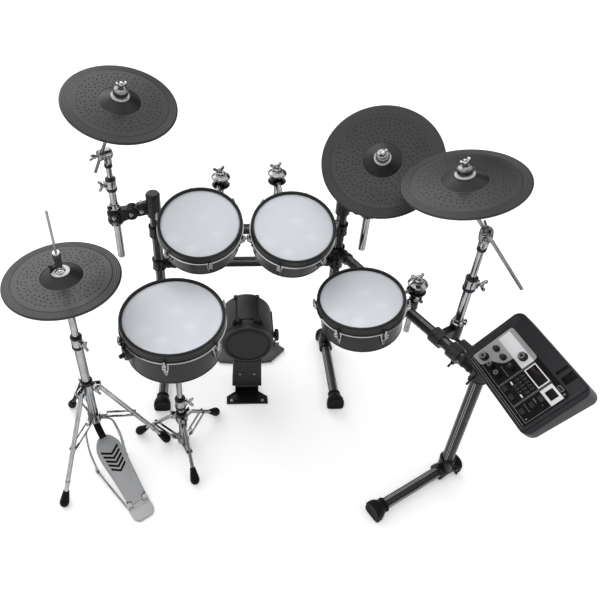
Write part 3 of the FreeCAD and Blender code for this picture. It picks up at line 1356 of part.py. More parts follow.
def module_frame():
    """Placement of the module: local X along its width, local Z out of its panel."""
    turn = FreeCAD.Rotation(UP, MODULE_TURN).multiply(FreeCAD.Rotation(V(1, 0, 0), MODULE_PITCH))
    return FreeCAD.Placement(MODULE, turn)


def module_hinge():
    """Middle of the module's tilt hinge and its axis."""
    frame = module_frame()
    under = -(CASE_FRONT_T + CASE_REAR_T) / 2
    return frame.multVec(CASE_SHIFT + V(0, 0, under - HINGE_DROP)), frame.Rotation.multVec(V(1, 0, 0))


def module_case():
    """Wedge-shaped case with rounded corners, a sunk panel bed and a row of jacks behind."""
    half_w, half_d = CASE_W / 2, CASE_D / 2
    side = [V(0, -half_d, -CASE_FRONT_T), V(0, half_d, -CASE_REAR_T), V(0, half_d, 0), V(0, -half_d, 0)]
    body = Part.Face(Part.makePolygon(side + side[:1])).extrude(V(CASE_W, 0, 0))
    body.translate(V(-half_w, 0, 0))
    body = body.makeFillet(CASE_ROUND, upright_edges(body))
    top = [e for e in body.Edges if e.BoundBox.ZMin > -0.01]
    body = body.makeFillet(CASE_EDGE, top)
    body.translate(CASE_SHIFT)
    bed = panel_blank(PANEL_W + SEAT * 2, PANEL_D + SEAT * 2, PANEL_T + 1)
    bed.translate(V(0, 0, -PANEL_T))
    edge = PANEL_W / 2 + SHOULDER_GAP
    shoulder = block(V(edge, -CASE_D, -SHOULDER_DROP), V(CASE_W, CASE_D, 1))
    body = body.cut(bed).cut(shoulder)
    rear = CASE_SHIFT.y + half_d
    pitch = (CASE_W - JACK_MARGIN * 2) / (JACKS - 1)
    jacks = []
    for k in range(JACKS):
        point = V(CASE_SHIFT.x - half_w + JACK_MARGIN + pitch * k, rear, -CASE_REAR_T * 0.45)
        jacks.append(rod(point - V(0, JACK_DEPTH, 0), point + V(0, 1, 0), JACK_R))
    body = body.cut(Part.makeCompound(jacks))
    return placed(body, module_frame())


def panel_blank(width, depth, thickness):
    """Panel outline with rounded corners, centred on the origin."""
    blank = block(V(-width / 2, -depth / 2, 0), V(width / 2, depth / 2, thickness))
    return blank.makeFillet(PANEL_ROUND, upright_edges(blank))


def module_panel():
    """Control panel plate set into the case, with a shallow well under each key."""
    panel = panel_blank(PANEL_W, PANEL_D, PANEL_T - SEAT)
    panel.translate(V(0, 0, -PANEL_T + SEAT))
    wells = [block(at + V(-KEY_W / 2 - CLEAR, -KEY_D / 2 - CLEAR, -KEY_SUNK - KEY_TRAVEL - CLEAR),
                   at + V(KEY_W / 2 + CLEAR, KEY_D / 2 + CLEAR, 1)) for at in KEY_PLACES.values()]
    return placed(panel.cut(Part.makeCompound(wells)), module_frame())


def module_knobs():
    """Rotary knobs of the module by name."""
    frame = module_frame()
    knobs = {}
    for places, radius, height, ribs in ((DIAL_PLACES, DIAL_R, DIAL_H, 12), (POT_PLACES, POT_R, POT_H, 8)):
        for name, at in places.items():
            seat = FreeCAD.Placement(at + V(0, 0, CLEAR), FreeCAD.Rotation())
            knobs[name] = placed(knurled_knob(radius, height, ribs), frame.multiply(seat))
    return knobs


def module_keys():
    """Push keys of the module by name."""
    frame = module_frame()
    keys = {}
    for name, at in KEY_PLACES.items():
        key = block(V(-KEY_W / 2, -KEY_D / 2, -KEY_SUNK), V(KEY_W / 2, KEY_D / 2, KEY_H))
        key = key.makeFillet(2, upright_edges(key))
        keys[name] = placed(key, frame.multiply(FreeCAD.Placement(at, FreeCAD.Rotation())))
    return keys


def module_holder():
    """Rod from the side bar's clamp to the hinge knuckle under the module."""
    _, arm = module_mount()
    along = side_direction()
    pivot, axis = module_hinge()
    corner = arm + along * HOLDER_RUN
    half = axis * HINGE_L / 2
    knuckle = rod(pivot - half, pivot + half, HINGE_R)
    neck = pivot - unit(pivot - corner) * HINGE_R * 0.5
    parts = [rod(arm - along * HOLDER_CLAMP_L, corner, HOLDER_ARM_R), Part.makeSphere(HOLDER_ARM_R, corner),
             rod(corner, neck, HOLDER_ARM_R), knuckle]
    return fused(parts).cut(rod(pivot - axis * HINGE_L, pivot + axis * HINGE_L, HINGE_PIN_R + RUN))


def module_bracket():
    """Plate under the case with two ears and the hinge pin."""
    frame = module_frame()
    lean = math.degrees(math.atan2(CASE_REAR_T - CASE_FRONT_T, CASE_D))
    under = -(CASE_FRONT_T + CASE_REAR_T) / 2
    base = frame.multiply(FreeCAD.Placement(CASE_SHIFT + V(0, 0, under), FreeCAD.Rotation(V(1, 0, 0), -lean)))
    sheet = block(V(-PLATE_W / 2, -PLATE_D / 2, -PLATE_T - SEAT), V(PLATE_W / 2, PLATE_D / 2, -SEAT))
    parts = [placed(sheet, base)]
    pivot, axis = module_hinge()
    inner = HINGE_L / 2 + CLEAR
    normal = frame.Rotation.multVec(UP)
    for side in (-1, 1):
        cheek = pivot + axis * inner * side
        ear = rod(cheek, cheek + axis * 6 * side, HINGE_R)
        web_low = frame.Rotation.multVec(V(0, HINGE_R, 0))
        corners = [cheek - web_low, cheek + web_low, cheek + web_low + normal * (HINGE_DROP - PLATE_T * 0.4),
                   cheek - web_low + normal * (HINGE_DROP - PLATE_T * 1.2)]
        web = Part.Face(Part.makePolygon(corners + corners[:1])).extrude(axis * 6 * side)
        parts += [ear, web]
    parts.append(rod(pivot - axis * inner * 1.2, pivot + axis * inner * 1.2, HINGE_PIN_R))
    room = block(V(-CASE_W, -CASE_D, -SEAT), V(CASE_W, CASE_D, CASE_REAR_T))
    return fused(parts).cut(placed(room, base))


def build():
    """Every node of the kit by name, each a list of solids."""
    nodes = {
        "rack_tubes": rack_posts() + rack_bars() + foot_pipes(),
        "rack_joints": rack_joints(),
        "foot_boots": foot_boots(),
        "tube_clamps": tube_clamps(),
        "rack_wing_bolts": rack_wing_bolts(),
        "stand_lower_tubes": stand_lower_tubes(),
        "tube_collars": tube_collars(),
        "chrome_wing_bolts": chrome_wing_bolts(),
        "tripod_hubs": tripod_hubs(),
        "tripod_legs": tripod_legs() + tripod_braces(),
        "tripod_feet": tripod_feet(),
        "tom_holders": tom_holders(),
        "hihat_upper_tube": [hihat_upper_tube()],
        "hihat_rod": [hihat_rod()],
        "hihat_pad": [hihat_pad()],
        "pedal_board": [pedal_board()],
        "pedal_base": [pedal_base()],
        "snare_upper_tube": [snare_upper_tube()],
        "snare_basket": snare_basket(),
        "snare_knob": [snare_knob()],
        "kick_body": [kick_body()],
        "kick_pad": [kick_pad()],
        "kick_stand": [kick_stand()],
        "module_case": [module_case()],
        "module_panel": [module_panel()],
        "module_holder": [module_holder()],
        "module_bracket": [module_bracket()],
    }
    for name, tube, collar_z, tilt_z, centre, normal, radius, share, counter in cymbal_stands():
        _, across, _ = boom_frame(tube, tilt_z, centre, normal)
        nodes[name + "_upper_tube"] = [upper_tube(tube, collar_z, tilt_z, across)]
        nodes[name + "_boom"] = [boom(tube, tilt_z, centre, normal, radius, counter)]
        nodes[name + "_pad"] = [placed(pad(radius, share), aligned(centre, normal))]
    drums = [(name, centre, normal, TOM_HEAD_R, TOM_DEPTH, turn) for name, centre, normal, _, turn in toms()]
    drums.append(("snare", snare_centre(), snare_normal(), SNARE_HEAD_R, SNARE_DEPTH, 25))
    for name, centre, normal, radius, depth, turn in drums:
        frame = drum_frame(centre, normal)
        nodes[name + "_head"] = [placed(drum_head(radius), frame)]
        nodes[name + "_shell"] = [placed(drum_shell(radius, depth), frame)]
        nodes[name + "_hardware"] = [placed(piece, frame) for piece in drum_hardware(radius, turn)]
    for name, centre, normal, ball, _ in toms():
        nodes[name + "_hardware"].append(tom_arm(centre, normal, ball))
    nodes["snare_hardware"].append(snare_control_box())
    for group in (module_knobs(), module_keys()):
        for name, shape in group.items():
            nodes[name] = [shape]
    for shapes in nodes.values():
        for shape in shapes:
            shape.translate(KIT_SHIFT)
    return nodes


def export(nodes):
    """Write one file per node."""
    os.makedirs("parts", exist_ok=True)
    for name, shapes in nodes.items():
        shape = shapes[0] if len(shapes) == 1 else Part.makeCompound(shapes)
        shape.exportStep("parts/" + name + ".step")


if __name__ == "__main__":
    export(build())
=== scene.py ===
import json
import math
import random

import bmesh
import bpy
from bpy.props import FloatProperty, FloatVectorProperty, IntProperty, PointerProperty
from mathutils import Matrix, Vector
from mathutils.geometry import delaunay_2d_cdt


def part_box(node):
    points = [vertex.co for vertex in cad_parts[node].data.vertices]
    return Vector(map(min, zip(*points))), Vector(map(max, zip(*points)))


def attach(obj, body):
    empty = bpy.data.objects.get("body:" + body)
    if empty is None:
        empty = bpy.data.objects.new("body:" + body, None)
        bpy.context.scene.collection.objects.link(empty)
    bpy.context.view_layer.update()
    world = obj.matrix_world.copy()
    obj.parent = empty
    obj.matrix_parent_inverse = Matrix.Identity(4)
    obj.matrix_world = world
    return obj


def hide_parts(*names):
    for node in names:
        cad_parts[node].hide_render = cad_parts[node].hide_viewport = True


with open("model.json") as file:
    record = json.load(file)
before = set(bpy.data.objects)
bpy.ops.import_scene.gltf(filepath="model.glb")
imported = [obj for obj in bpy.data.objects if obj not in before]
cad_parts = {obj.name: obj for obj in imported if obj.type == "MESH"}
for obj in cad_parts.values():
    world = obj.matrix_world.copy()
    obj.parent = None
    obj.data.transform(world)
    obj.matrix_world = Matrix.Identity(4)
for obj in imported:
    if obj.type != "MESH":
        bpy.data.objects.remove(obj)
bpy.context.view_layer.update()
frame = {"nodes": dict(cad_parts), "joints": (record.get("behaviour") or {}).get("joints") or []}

bl_info = {
    "name": "Electronic drum kit",
    "version": (1, 0, 0),
    "blender": (4, 5, 0),
    "location": "3D View > Sidebar > Drum kit",
    "description": "Dresses the packed drum kit with its finishes and fine pieces",
    "category": "Object",
}

NODES = frame["nodes"]
JOINTS = {joint["name"]: joint for joint in frame["joints"]}
MM = 0.001
LAYOUT = Vector((-11, 18.5, 0))
X_AXIS = Vector((1, 0, 0))
Y_AXIS = Vector((0, 1, 0))
UP = Vector((0, 0, 1))
OUTWARD = Matrix(((0, 0, 1, 0), (1, 0, 0, 0), (0, 1, 0, 0), (0, 0, 0, 1)))

UPRIGHT = Matrix.Rotation(math.radians(90), 4, "X")

# Places in the layout, in millimetres: rack posts, stands, cymbal tubes, and the middles of kick and panel
LEFT_POST = (-385, 368)
REAR_POST = (273, 368)
RIGHT_POST = (603, -222)
HIHAT = (-592, -109)
SNARE_STAND = (-298, -87)
LEFT_TUBE = (-521, 368)
MID_TUBE = (363, 372)
RIGHT_TUBE = (585, -40)
KICK_FRONT = (-61, 138, 268)
PANEL_MIDDLE = (628, -336, 650)

# Sizes in millimetres: bar heights, bore of the rack's rings, top of a pad's bell, wall of a shell, ends of
# the footboard in the pedal's frame, and steps round a large ring
UPPER_BAR, LOWER_BAR, SIDE_BAR = 624, 474, 522
RING_BORE = 18.4
BELL_TOP = 29
SHELL_WALL = 1.15
HINGE = (262, 0, 20)
TOE = (34, 0, 112)
LARGE_TURNS = 96

# Distances in metres: foot pipes above the floor, tom rods from their bar, tripod legs from their axis,
# booms beside their tilter, and a pad's rocking point above its base
PIPE_RISE = 0.03
ROD_SETBACK = 0.042
LEG_ROOT = 0.032
BOOM_SIDE = 0.019
ROCK_RISE = 0.046

PLAIN_KNOBS = ("trim_knob_1", "trim_knob_2", "trim_knob_3")
DUST_COLOUR = (0.45, 0.45, 0.44, 1)

# Material of each finish, by its name
FINISH = {}


# Mesh tools


def place(x, y, z=0):
    return (Vector((x, y, z)) + LAYOUT) * MM


def heading(degrees):
    """Level direction at an angle from +X."""
    return Vector((math.cos(math.radians(degrees)), math.sin(math.radians(degrees)), 0))


def spun(degrees):
    """Turn about Z."""
    return Matrix.Rotation(math.radians(degrees), 4, "Z")


def moved(x, y, z):
    """Shift given in millimetres."""
    return Matrix.Translation(Vector((x, y, z)) * MM)


def point_in(at, x, y, z=0):
    """Point of a frame, given in millimetres."""
    return at @ (Vector((x, y, z)) * MM)


def polar(at, degrees, reach, height):
    """Point of a frame at a turn, a distance and a height, given in degrees and millimetres."""
    return at @ ((heading(degrees) * reach + UP * height) * MM)


def seat(origin, axis, side=None):
    """Matrix with local Z along axis and local X towards side."""
    z_axis = Vector(axis).normalized()
    guide = Vector(side) if side is not None else X_AXIS
    if abs(guide.normalized().dot(z_axis)) > 0.99:
        guide = Y_AXIS
    y_axis = z_axis.cross(guide).normalized()
    x_axis = y_axis.cross(z_axis)
    turn = Matrix((x_axis, y_axis, z_axis)).transposed().to_4x4()
    return Matrix.Translation(Vector(origin)) @ turn


def eased(points, radius, closed=False, steps=3):
    """A run of points with its corners rounded."""
    result = []
    count = len(points)
    for k, point in enumerate(points):
        here = Vector(point)
        if not closed and k in (0, count - 1):
            result.append(here)
            continue
        before = Vector(points[k - 1]) - here
        after = Vector(points[(k + 1) % count]) - here
        cut = min(radius, before.length * 0.45, after.length * 0.45)
        start = here + before.normalized() * cut
        end = here + after.normalized() * cut
        for step in range(steps + 1):
            t = step / steps
            result.append(start * (1 - t) ** 2 + here * (2 * t * (1 - t)) + end * t ** 2)
    return result


def join(bm, low, high):
    """Faces between two rings, either of which may be a single point."""
    count = max(len(low), len(high))
    for k in range(count):
        after = (k + 1) % count
        corners = [low[k % len(low)], low[after % len(low)], high[after % len(high)], high[k % len(high)]]
        corners = list(dict.fromkeys(corners))
        if len(corners) > 2:
            bm.faces.new(corners)


def lathe(bm, profile, turns=48, at=None, soft=0):
    """Turned form of (radius, height) points in millimetres; a profile off the axis closes on itself."""
    at = at or Matrix()
    if soft:
        profile = eased(profile, soft, profile[0][0] > 0)
    rings = []
    for radius, height in profile:
        if radius < 1e-6:
            rings.append([bm.verts.new(point_in(at, 0, 0, height))])
            continue
        rings.append([bm.verts.new(polar(at, 360 * k / turns, radius, height)) for k in range(turns)])
    pairs = list(zip(rings, rings[1:]))
    if len(rings[0]) > 1 and len(rings[-1]) > 1:
        pairs.append((rings[-1], rings[0]))
    for low, high in pairs:
        join(bm, low, high)
    return rings


def loft(bm, rings):
    """Closed form through rings of equal count, with flat ends."""
    made = [[bm.verts.new(point) for point in ring] for ring in rings]
    for low, high in zip(made, made[1:]):
        join(bm, low, high)
    bm.faces.new(made[0])
    bm.faces.new(made[-1])


def prism(bm, outline, low, high, at=None, bevel=0, both=False):
    """Flat outline in millimetres raised from low to high, with its upper or both edges softened."""
    at = at or Matrix()
    levels = [(low, 0), (high, 0)]
    if bevel:
        levels = [(low, 0), (high - bevel, 0), (high - bevel * 0.3, bevel * 0.3), (high, bevel)]
    if bevel and both:
        levels = [(low, bevel), (low + bevel * 0.3, bevel * 0.3), (low + bevel, 0)] + levels[1:]
    count = len(outline)
    rings = []
    for height, inset in levels:
        ring = []
        for k, point in enumerate(outline):
            here = Vector(point[:2])
            before = (here - Vector(outline[k - 1][:2])).normalized()
            after = (Vector(outline[(k + 1) % count][:2]) - here).normalized()
            inward = Vector((-before.y - after.y, before.x + after.x))
            inward = inward.normalized() if inward.length > 1e-9 else inward
            here = here + inward * inset
            ring.append(point_in(at, here.x, here.y, height))
        rings.append(ring)
    loft(bm, rings)


def oblong(width, depth, radius, centre=(0, 0), steps=4):
    """Rounded rectangle as an anticlockwise outline."""
    x, y = width / 2, depth / 2
    corners = [(-x, -y), (x, -y), (x, y), (-x, y)]
    return eased([(cx + centre[0], cy + centre[1]) for cx, cy in corners], radius, True, steps)


def block(bm, low, high, at=None, bevel=1):
    """Box between two corners in millimetres with all its edges softened."""
    at = at or Matrix()
    grid = [(x, y, z) for x in (low[0], high[0]) for y in (low[1], high[1]) for z in (low[2], high[2])]
    corners = [bm.verts.new(at @ (Vector(point) * MM)) for point in grid]
    sides = [(0, 1, 3, 2), (4, 6, 7, 5), (0, 4, 5, 1), (2, 3, 7, 6), (0, 2, 6, 4), (1, 5, 7, 3)]
    faces = [bm.faces.new([corners[k] for k in side]) for side in sides]
    edges = list({edge for face in faces for edge in face.edges})
    bmesh.ops.bevel(bm, geom=edges, offset=bevel * MM, segments=2, profile=0.6, affect="EDGES",
                    clamp_overlap=True)


def sweep(bm, points, radius, turns=14, tall=None, lead=None):
    """Bar along a run of points in metres, round or oval, its radii in millimetres."""
    tall = tall or radius
    rings = []
    normal = Vector(lead) if lead else None
    for k, point in enumerate(points):
        ahead = Vector(points[min(k + 1, len(points) - 1)]) - Vector(points[max(k - 1, 0)])
        ahead.normalize()
        if normal is None:
            normal = ahead.orthogonal().normalized()
        normal = (normal - ahead * normal.dot(ahead)).normalized()
        other = ahead.cross(normal)
        ring = []
        for j in range(turns):
            turn = math.tau * j / turns
            spoke = normal * math.cos(turn) * radius + other * math.sin(turn) * tall
            ring.append(Vector(point) + spoke * MM)
        rings.append(ring)
    loft(bm, rings)


def outset(reach, points):
    """Profile points given by their distance beyond a radius."""
    return [(reach + out, height) for out, height in points]


def mirrored(points):
    """Outline made whole from its right half, which runs from the upper middle to the lower middle."""
    return [(-x, y) for x, y in points] + points[::-1]


def wing(bm, point, direction, side, reach, span=40, rise=17, thick=2.7):
    """Screw with a cast two-lobed wing: it starts at point and its wing lies reach out along direction."""
    tip = Vector(point) + Vector(direction).normalized() * reach * MM
    at = seat(tip, direction, side)
    half = span / 2
    lobe = [(2, 7.6), (6.5, 9.2), (half * 0.62, rise * 0.97), (half * 0.86, rise), (half, rise * 0.82),
            (half * 0.96, rise * 0.55), (half * 0.66, rise * 0.24), (7, 0.4), (6.6, -1.2), (2, -1.2)]
    prism(bm, eased(mirrored(lobe), 2.2, True, 3), -thick, thick, at @ UPRIGHT, 1.5, True)
    lathe(bm, [(0, -1.4), (7.2, -1.4), (6.6, 8.6), (4.6, 10.4), (0, 10.4)], 24, at, 1)
    shank = 4
    lathe(bm, [(0, -reach), (shank, -reach), (shank, 0.5), (0, 0.5)], 16, at)


def square_bolt(bm, point, direction, side):
    """Bolt with a flange and a square key head."""
    at = seat(point, direction, side)
    lathe(bm, [(0, -1), (7, -1), (7, 1.6), (5.4, 2.6), (0, 2.6)], 24, at, 0.6)
    prism(bm, oblong(7, 7, 0.8), 2.4, 9, at, 0.8)


def rivet(bm, point, direction, radius=4.2, rise=2):
    """Low domed rivet head."""
    lathe(bm, [(0, -0.6), (radius, -0.6), (radius, 0.3), (radius * 0.86, rise * 0.62),
               (radius * 0.5, rise * 0.94), (0, rise)], 18, seat(point, direction))


def floored(bm):
    """Presses what lies under the floor flat onto it."""
    for vertex in bm.verts:
        vertex.co.z = max(vertex.co.z, 0)


def ring_band(bm, point, axis, inner, outer, height, soft=0.8, turns=32):
    """Plain ring on a tube, standing on point along axis."""
    lathe(bm, [(inner, 0), (outer, 0), (outer, height), (inner, height)], turns, seat(point, axis), soft)


def cast_arm(bm, start, along, front, stations):
    """Cast bar through rounded rectangles, each (distance, half width, half height) in millimetres."""
    top = along.cross(front)
    rings = []
    for far, wide, tall in stations:
        outline = oblong(wide * 2, tall * 2, min(wide, tall) * 0.35)
        rings.append([start + (along * far + front * x + top * y) * MM for x, y in outline])
    loft(bm, rings)


def boot(bm, start, ahead, stations):
    """Rubber boot along a floor pipe; a station is distance, half width, drop and squareness below."""
    across = ahead.cross(UP)
    rings = []
    for far, wide, drop, square in stations:
        ring = []
        for k in range(40):
            x, y = math.cos(math.tau * k / 40), math.sin(math.tau * k / 40)
            power = 2 / square if y < 0 else 1
            x = math.copysign(abs(x) ** power, x) * wide
            y = math.copysign(abs(y) ** power, y) * (drop if y < 0 else wide)
            ring.append(start + (ahead * far + across * x + UP * y) * MM)
        rings.append(ring)
    loft(bm, rings)


def piece(name, bm, body, *finishes, slot=None, at=None, own_frame=False, crease=36):
    """Object from a mesh under way, dressed and riding on its body."""
    bmesh.ops.recalc_face_normals(bm, faces=bm.faces)
    mesh = bpy.data.meshes.new(name)
    bm.to_mesh(mesh)
    bm.free()
    if at is not None and not own_frame:
        mesh.transform(at)
    mesh.shade_smooth()
    mesh.set_sharp_from_angle(angle=math.radians(crease))
    for finish in finishes:
        mesh.materials.append(FINISH[finish])
    made = bpy.data.objects.new(name, mesh)
    bpy.context.scene.collection.objects.link(made)
    if own_frame:
        made.matrix_world = at
    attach(made, body)
    return made


def turned(name, body, finish, profile, turns, at, soft=0, **settings):
    """Piece of a single turned form."""
    bm = bmesh.new()
    lathe(bm, profile, turns, None, soft)
    return piece(name, bm, body, finish, at=at, **settings)


def dress(node, *finishes, rule=None):
    """Finishes for a carried CAD node; the rule picks one by each face's middle, in metres."""
    mesh = NODES[node].data
    mesh.materials.clear()
    for finish in finishes:
        mesh.materials.append(FINISH[finish])
    for face in mesh.polygons:
        face.material_index = rule(face.center) if rule else 0


def flat_axis(node):
    """Upward normal of the node's widest flat face."""
    areas = {}
    for face in NODES[node].data.polygons:
        key = tuple(round(value, 3) for value in face.normal)
        areas[key] = areas.get(key, 0) + face.area
    axis = Vector(max(areas, key=areas.get)).normalized()
    return axis if axis.z > 0 else -axis


def middle(node, axis):
    """Middle of a turned node seen along its axis, level with its highest face."""
    points = {tuple(round(value, 5) for value in vertex.co) for vertex in NODES[node].data.vertices}
    cloud = [Vector(point) for point in points]
    turn = seat((0, 0, 0), axis).to_3x3()
    local = [turn.transposed() @ point for point in cloud]
    low = [min(point[k] for point in local) for k in range(3)]
    high = [max(point[k] for point in local) for k in range(3)]
    return turn @ Vector(((low[0] + high[0]) / 2, (low[1] + high[1]) / 2, high[2]))


# Shared effects


def add(tree, kind, inputs=None, **settings):
    """A node with its settings, values and links."""
    node = tree.nodes.new(kind)
    for key, value in settings.items():
        setattr(node, key, value)
    for key, value in (inputs or {}).items():
        if isinstance(value, bpy.types.NodeSocket):
            tree.links.new(value, node.inputs[key])
        else:
            node.inputs[key].default_value = value
    return node


def calc(tree, operation, first, second):
    """Result of a sum on two numbers or sockets."""
    return add(tree, "ShaderNodeMath", {0: first, 1: second}, operation=operation).outputs[0]


def vector(tree, operation, first, second=(0, 0, 0)):
    """Outputs of a sum on vectors."""
    return add(tree, "ShaderNodeVectorMath", {0: first, 1: second}, operation=operation).outputs


def ramp(tree, value, low, high, start=0, end=1, smooth=False):
    """A value carried from one range to another."""
    inputs = {"Value": value, "From Min": low, "From Max": high, "To Min": start, "To Max": end}
    kind = "SMOOTHSTEP" if smooth else "LINEAR"
    return add(tree, "ShaderNodeMapRange", inputs, interpolation_type=kind).outputs["Result"]


def noise(tree, scale, detail, rough=0.5, where=None):
    """Noise over the piece's own coordinates, or over others."""
    where = where or add(tree, "ShaderNodeTexCoord").outputs["Object"]
    inputs = {"Vector": where, "Scale": scale, "Detail": detail, "Roughness": rough}
    return add(tree, "ShaderNodeTexNoise", inputs).outputs["Fac"]


def effect(name, inputs, outputs):
    """An empty shader group with named number sockets."""
    tree = bpy.data.node_groups.new(name, "ShaderNodeTree")
    for label, value in inputs.items():
        socket = tree.interface.new_socket(label, in_out="INPUT", socket_type="NodeSocketFloat")
        socket.default_value = value
    for label in outputs:
        tree.interface.new_socket(label, in_out="OUTPUT", socket_type="NodeSocketFloat")
    return tree, add(tree, "NodeGroupInput"), add(tree, "NodeGroupOutput")


def grain_effect():
    """Fine moulded grain and a broad cloudy shade."""
    tree, given, out = effect("Moulded grain", {"Scale": 900, "Cloud": 9}, ["Height", "Shade"])
    broad = noise(tree, given.outputs["Cloud"], 5)
    tree.links.new(noise(tree, given.outputs["Scale"], 3, 0.6), out.inputs["Height"])
    tree.links.new(ramp(tree, broad, 0.3, 0.7), out.inputs["Shade"])


def wear_effect():
    """Mask of the handled edges, broken up."""
    tree, given, out = effect("Edge wear", {"Reach": 0.08}, ["Mask"])
    edge = add(tree, "ShaderNodeNewGeometry").outputs["Pointiness"]
    flat = 0.52
    rim = ramp(tree, edge, flat, calc(tree, "ADD", given.outputs["Reach"], flat))
    tree.links.new(calc(tree, "MULTIPLY", rim, noise(tree, 120, 4)), out.inputs["Mask"])


def dust_effect():
    """Mask of light dust on faces that look up."""
    tree, given, out = effect("Settled dust", {"Amount": 0.3}, ["Mask"])
    facing = add(tree, "ShaderNodeSeparateXYZ", {0: add(tree, "ShaderNodeNewGeometry").outputs["Normal"]})
    soft = ramp(tree, noise(tree, 35, 8, 0.7), 0.4, 0.75)
    both = calc(tree, "MULTIPLY", ramp(tree, facing.outputs["Z"], 0.3, 1), soft)
    tree.links.new(calc(tree, "MULTIPLY", both, given.outputs["Amount"]), out.inputs["Mask"])


def polish_effect():
    """Fine lengthwise polishing marks."""
    tree, given, out = effect("Polish marks", {"Scale": 60}, ["Mark"])
    where = add(tree, "ShaderNodeTexCoord").outputs["Object"]
    long = vector(tree, "MULTIPLY", where, (8, 8, 1))[0]
    tree.links.new(noise(tree, given.outputs["Scale"], 5, where=long), out.inputs["Mark"])


def weave_effect():
    """Square weave of a mesh head in its own plane."""
    tree, given, out = effect("Head weave", {"Threads": 700}, ["Height"])
    where = add(tree, "ShaderNodeTexCoord").outputs["Object"]
    bands = []
    for direction in ("X", "Y"):
        bands.append(add(tree, "ShaderNodeTexWave", {"Vector": where, "Scale": given.outputs["Threads"]},
                         bands_direction=direction).outputs["Fac"])
    tree.links.new(calc(tree, "MAXIMUM", *bands), out.inputs["Height"])


def use(tree, name, **values):
    """A shared effect placed in a material with its own values."""
    node = add(tree, "ShaderNodeGroup", node_tree=bpy.data.node_groups[name])
    for label, value in values.items():
        node.inputs[label].default_value = value
    return node


# Finishes


def mixed(tree, factor, first, second):
    """Colour between two by a mask."""
    return add(tree, "ShaderNodeMix", {0: factor, 6: first, 7: second}, data_type="RGBA").outputs[2]


def started(name):
    """New material with its tree and main shader."""
    material = bpy.data.materials.new(name)
    material.use_nodes = True
    FINISH[name] = material
    return material.node_tree, material.node_tree.nodes["Principled BSDF"]


def surfaced(tree, shader, colour, gloss, height, strength, depth):
    """Colour, gloss and relief joined to the shader."""
    relief = add(tree, "ShaderNodeBump", {"Height": height, "Strength": strength, "Distance": depth})
    tree.links.new(colour, shader.inputs["Base Color"])
    tree.links.new(gloss, shader.inputs["Roughness"])
    tree.links.new(relief.outputs["Normal"], shader.inputs["Normal"])


def toned(colour, share):
    """A colour made lighter or darker."""
    return [value * share for value in colour]


def grey(level):
    """An even colour."""
    return (level, level, level)


def moulded(name, base, tone, rough, scale=900, bump=0.12, worn=None, dust=0, specular=0.5):
    """Plastic, rubber or paint: cloudy colour, grained gloss, worn edges and a little dust."""
    tree, shader = started(name)
    grain = use(tree, "Moulded grain", Scale=scale)
    colour = mixed(tree, grain.outputs["Shade"], (*base, 1), (*tone, 1))
    if worn:
        wear = use(tree, "Edge wear", Reach=0.1)
        colour = mixed(tree, wear.outputs["Mask"], colour, (*worn, 1))
    if dust:
        settled = use(tree, "Settled dust", Amount=dust)
        colour = mixed(tree, settled.outputs["Mask"], colour, DUST_COLOUR)
    spread = 0.06
    gloss = ramp(tree, grain.outputs["Shade"], 0, 1, rough - spread, rough + spread)
    surfaced(tree, shader, colour, gloss, grain.outputs["Height"], bump, 0.0004)
    shader.inputs["Specular IOR Level"].default_value = specular


def plated(name, base, tone, rough, spread):
    """Polished or satin metal with fine marks and cloudy gloss."""
    tree, shader = started(name)
    grain = use(tree, "Moulded grain", Scale=500, Cloud=30)
    polish = use(tree, "Polish marks", Scale=60)
    colour = mixed(tree, grain.outputs["Shade"], (*base, 1), (*tone, 1))
    gloss = ramp(tree, polish.outputs["Mark"], 0, 1, rough, rough + spread)
    surfaced(tree, shader, colour, gloss, polish.outputs["Mark"], 0.03, 0.0005)
    shader.inputs["Metallic"].default_value = 1
    shader.inputs["Specular Tint"].default_value = (0.12, 0.12, 0.13, 1)


def head_finish(colour, shade, light):
    """Pale mesh head: woven, with painted shade darkening it towards its rim, and faint lighter patches at
    four places.
    """
    tree, shader = started("head")
    where = add(tree, "ShaderNodeTexCoord").outputs["Object"]
    flat = vector(tree, "MULTIPLY", where, (1, 1, 0))[0]
    # Painted shade: the head grows darker towards its rim
    edge = ramp(tree, vector(tree, "LENGTH", flat)["Value"], 0.06, 0.15)
    grain = use(tree, "Moulded grain", Scale=300, Cloud=14)
    weave = use(tree, "Head weave", Threads=700)
    tone = calc(tree, "MULTIPLY", edge, grain.outputs["Shade"])
    base = mixed(tree, tone, (*colour, 1), (*shade, 1))
    # Faint lighter patches at four fixed places on the head
    for x, y, width, depth in ((0.011, 0.021, 0.024, 0.017), (0.054, -0.042, 0.02, 0.014),
                               (-0.078, -0.058, 0.026, 0.02), (-0.025, -0.095, 0.02, 0.016)):
        away = vector(tree, "SUBTRACT", flat, (x, y, 0))[0]
        away = vector(tree, "MULTIPLY", away, (1 / width, 1 / depth, 0))[0]
        patch = ramp(tree, vector(tree, "LENGTH", away)["Value"], 1.3, 0.5, 0, 0.5)
        base = mixed(tree, patch, base, (*light, 1))
    gloss = ramp(tree, grain.outputs["Shade"], 0, 1, 0.42, 0.55)
    surfaced(tree, shader, base, gloss, weave.outputs["Height"], 0.08, 0.0003)


def tint(name, description, colour):
    """Setting for a finish's colour."""
    return FloatVectorProperty(name=name, description=description, subtype="COLOR", default=colour,
                               min=0, max=1)


def metres(name, description, size, low, high):
    """Setting for a size in metres."""
    return FloatProperty(name=name, description=description, unit="LENGTH", default=size, min=low, max=high)


def strength(name, description, level, high=1):
    """Setting for a share or a strength of light."""
    return FloatProperty(name=name, description=description, subtype="FACTOR", default=level, min=0, max=high)


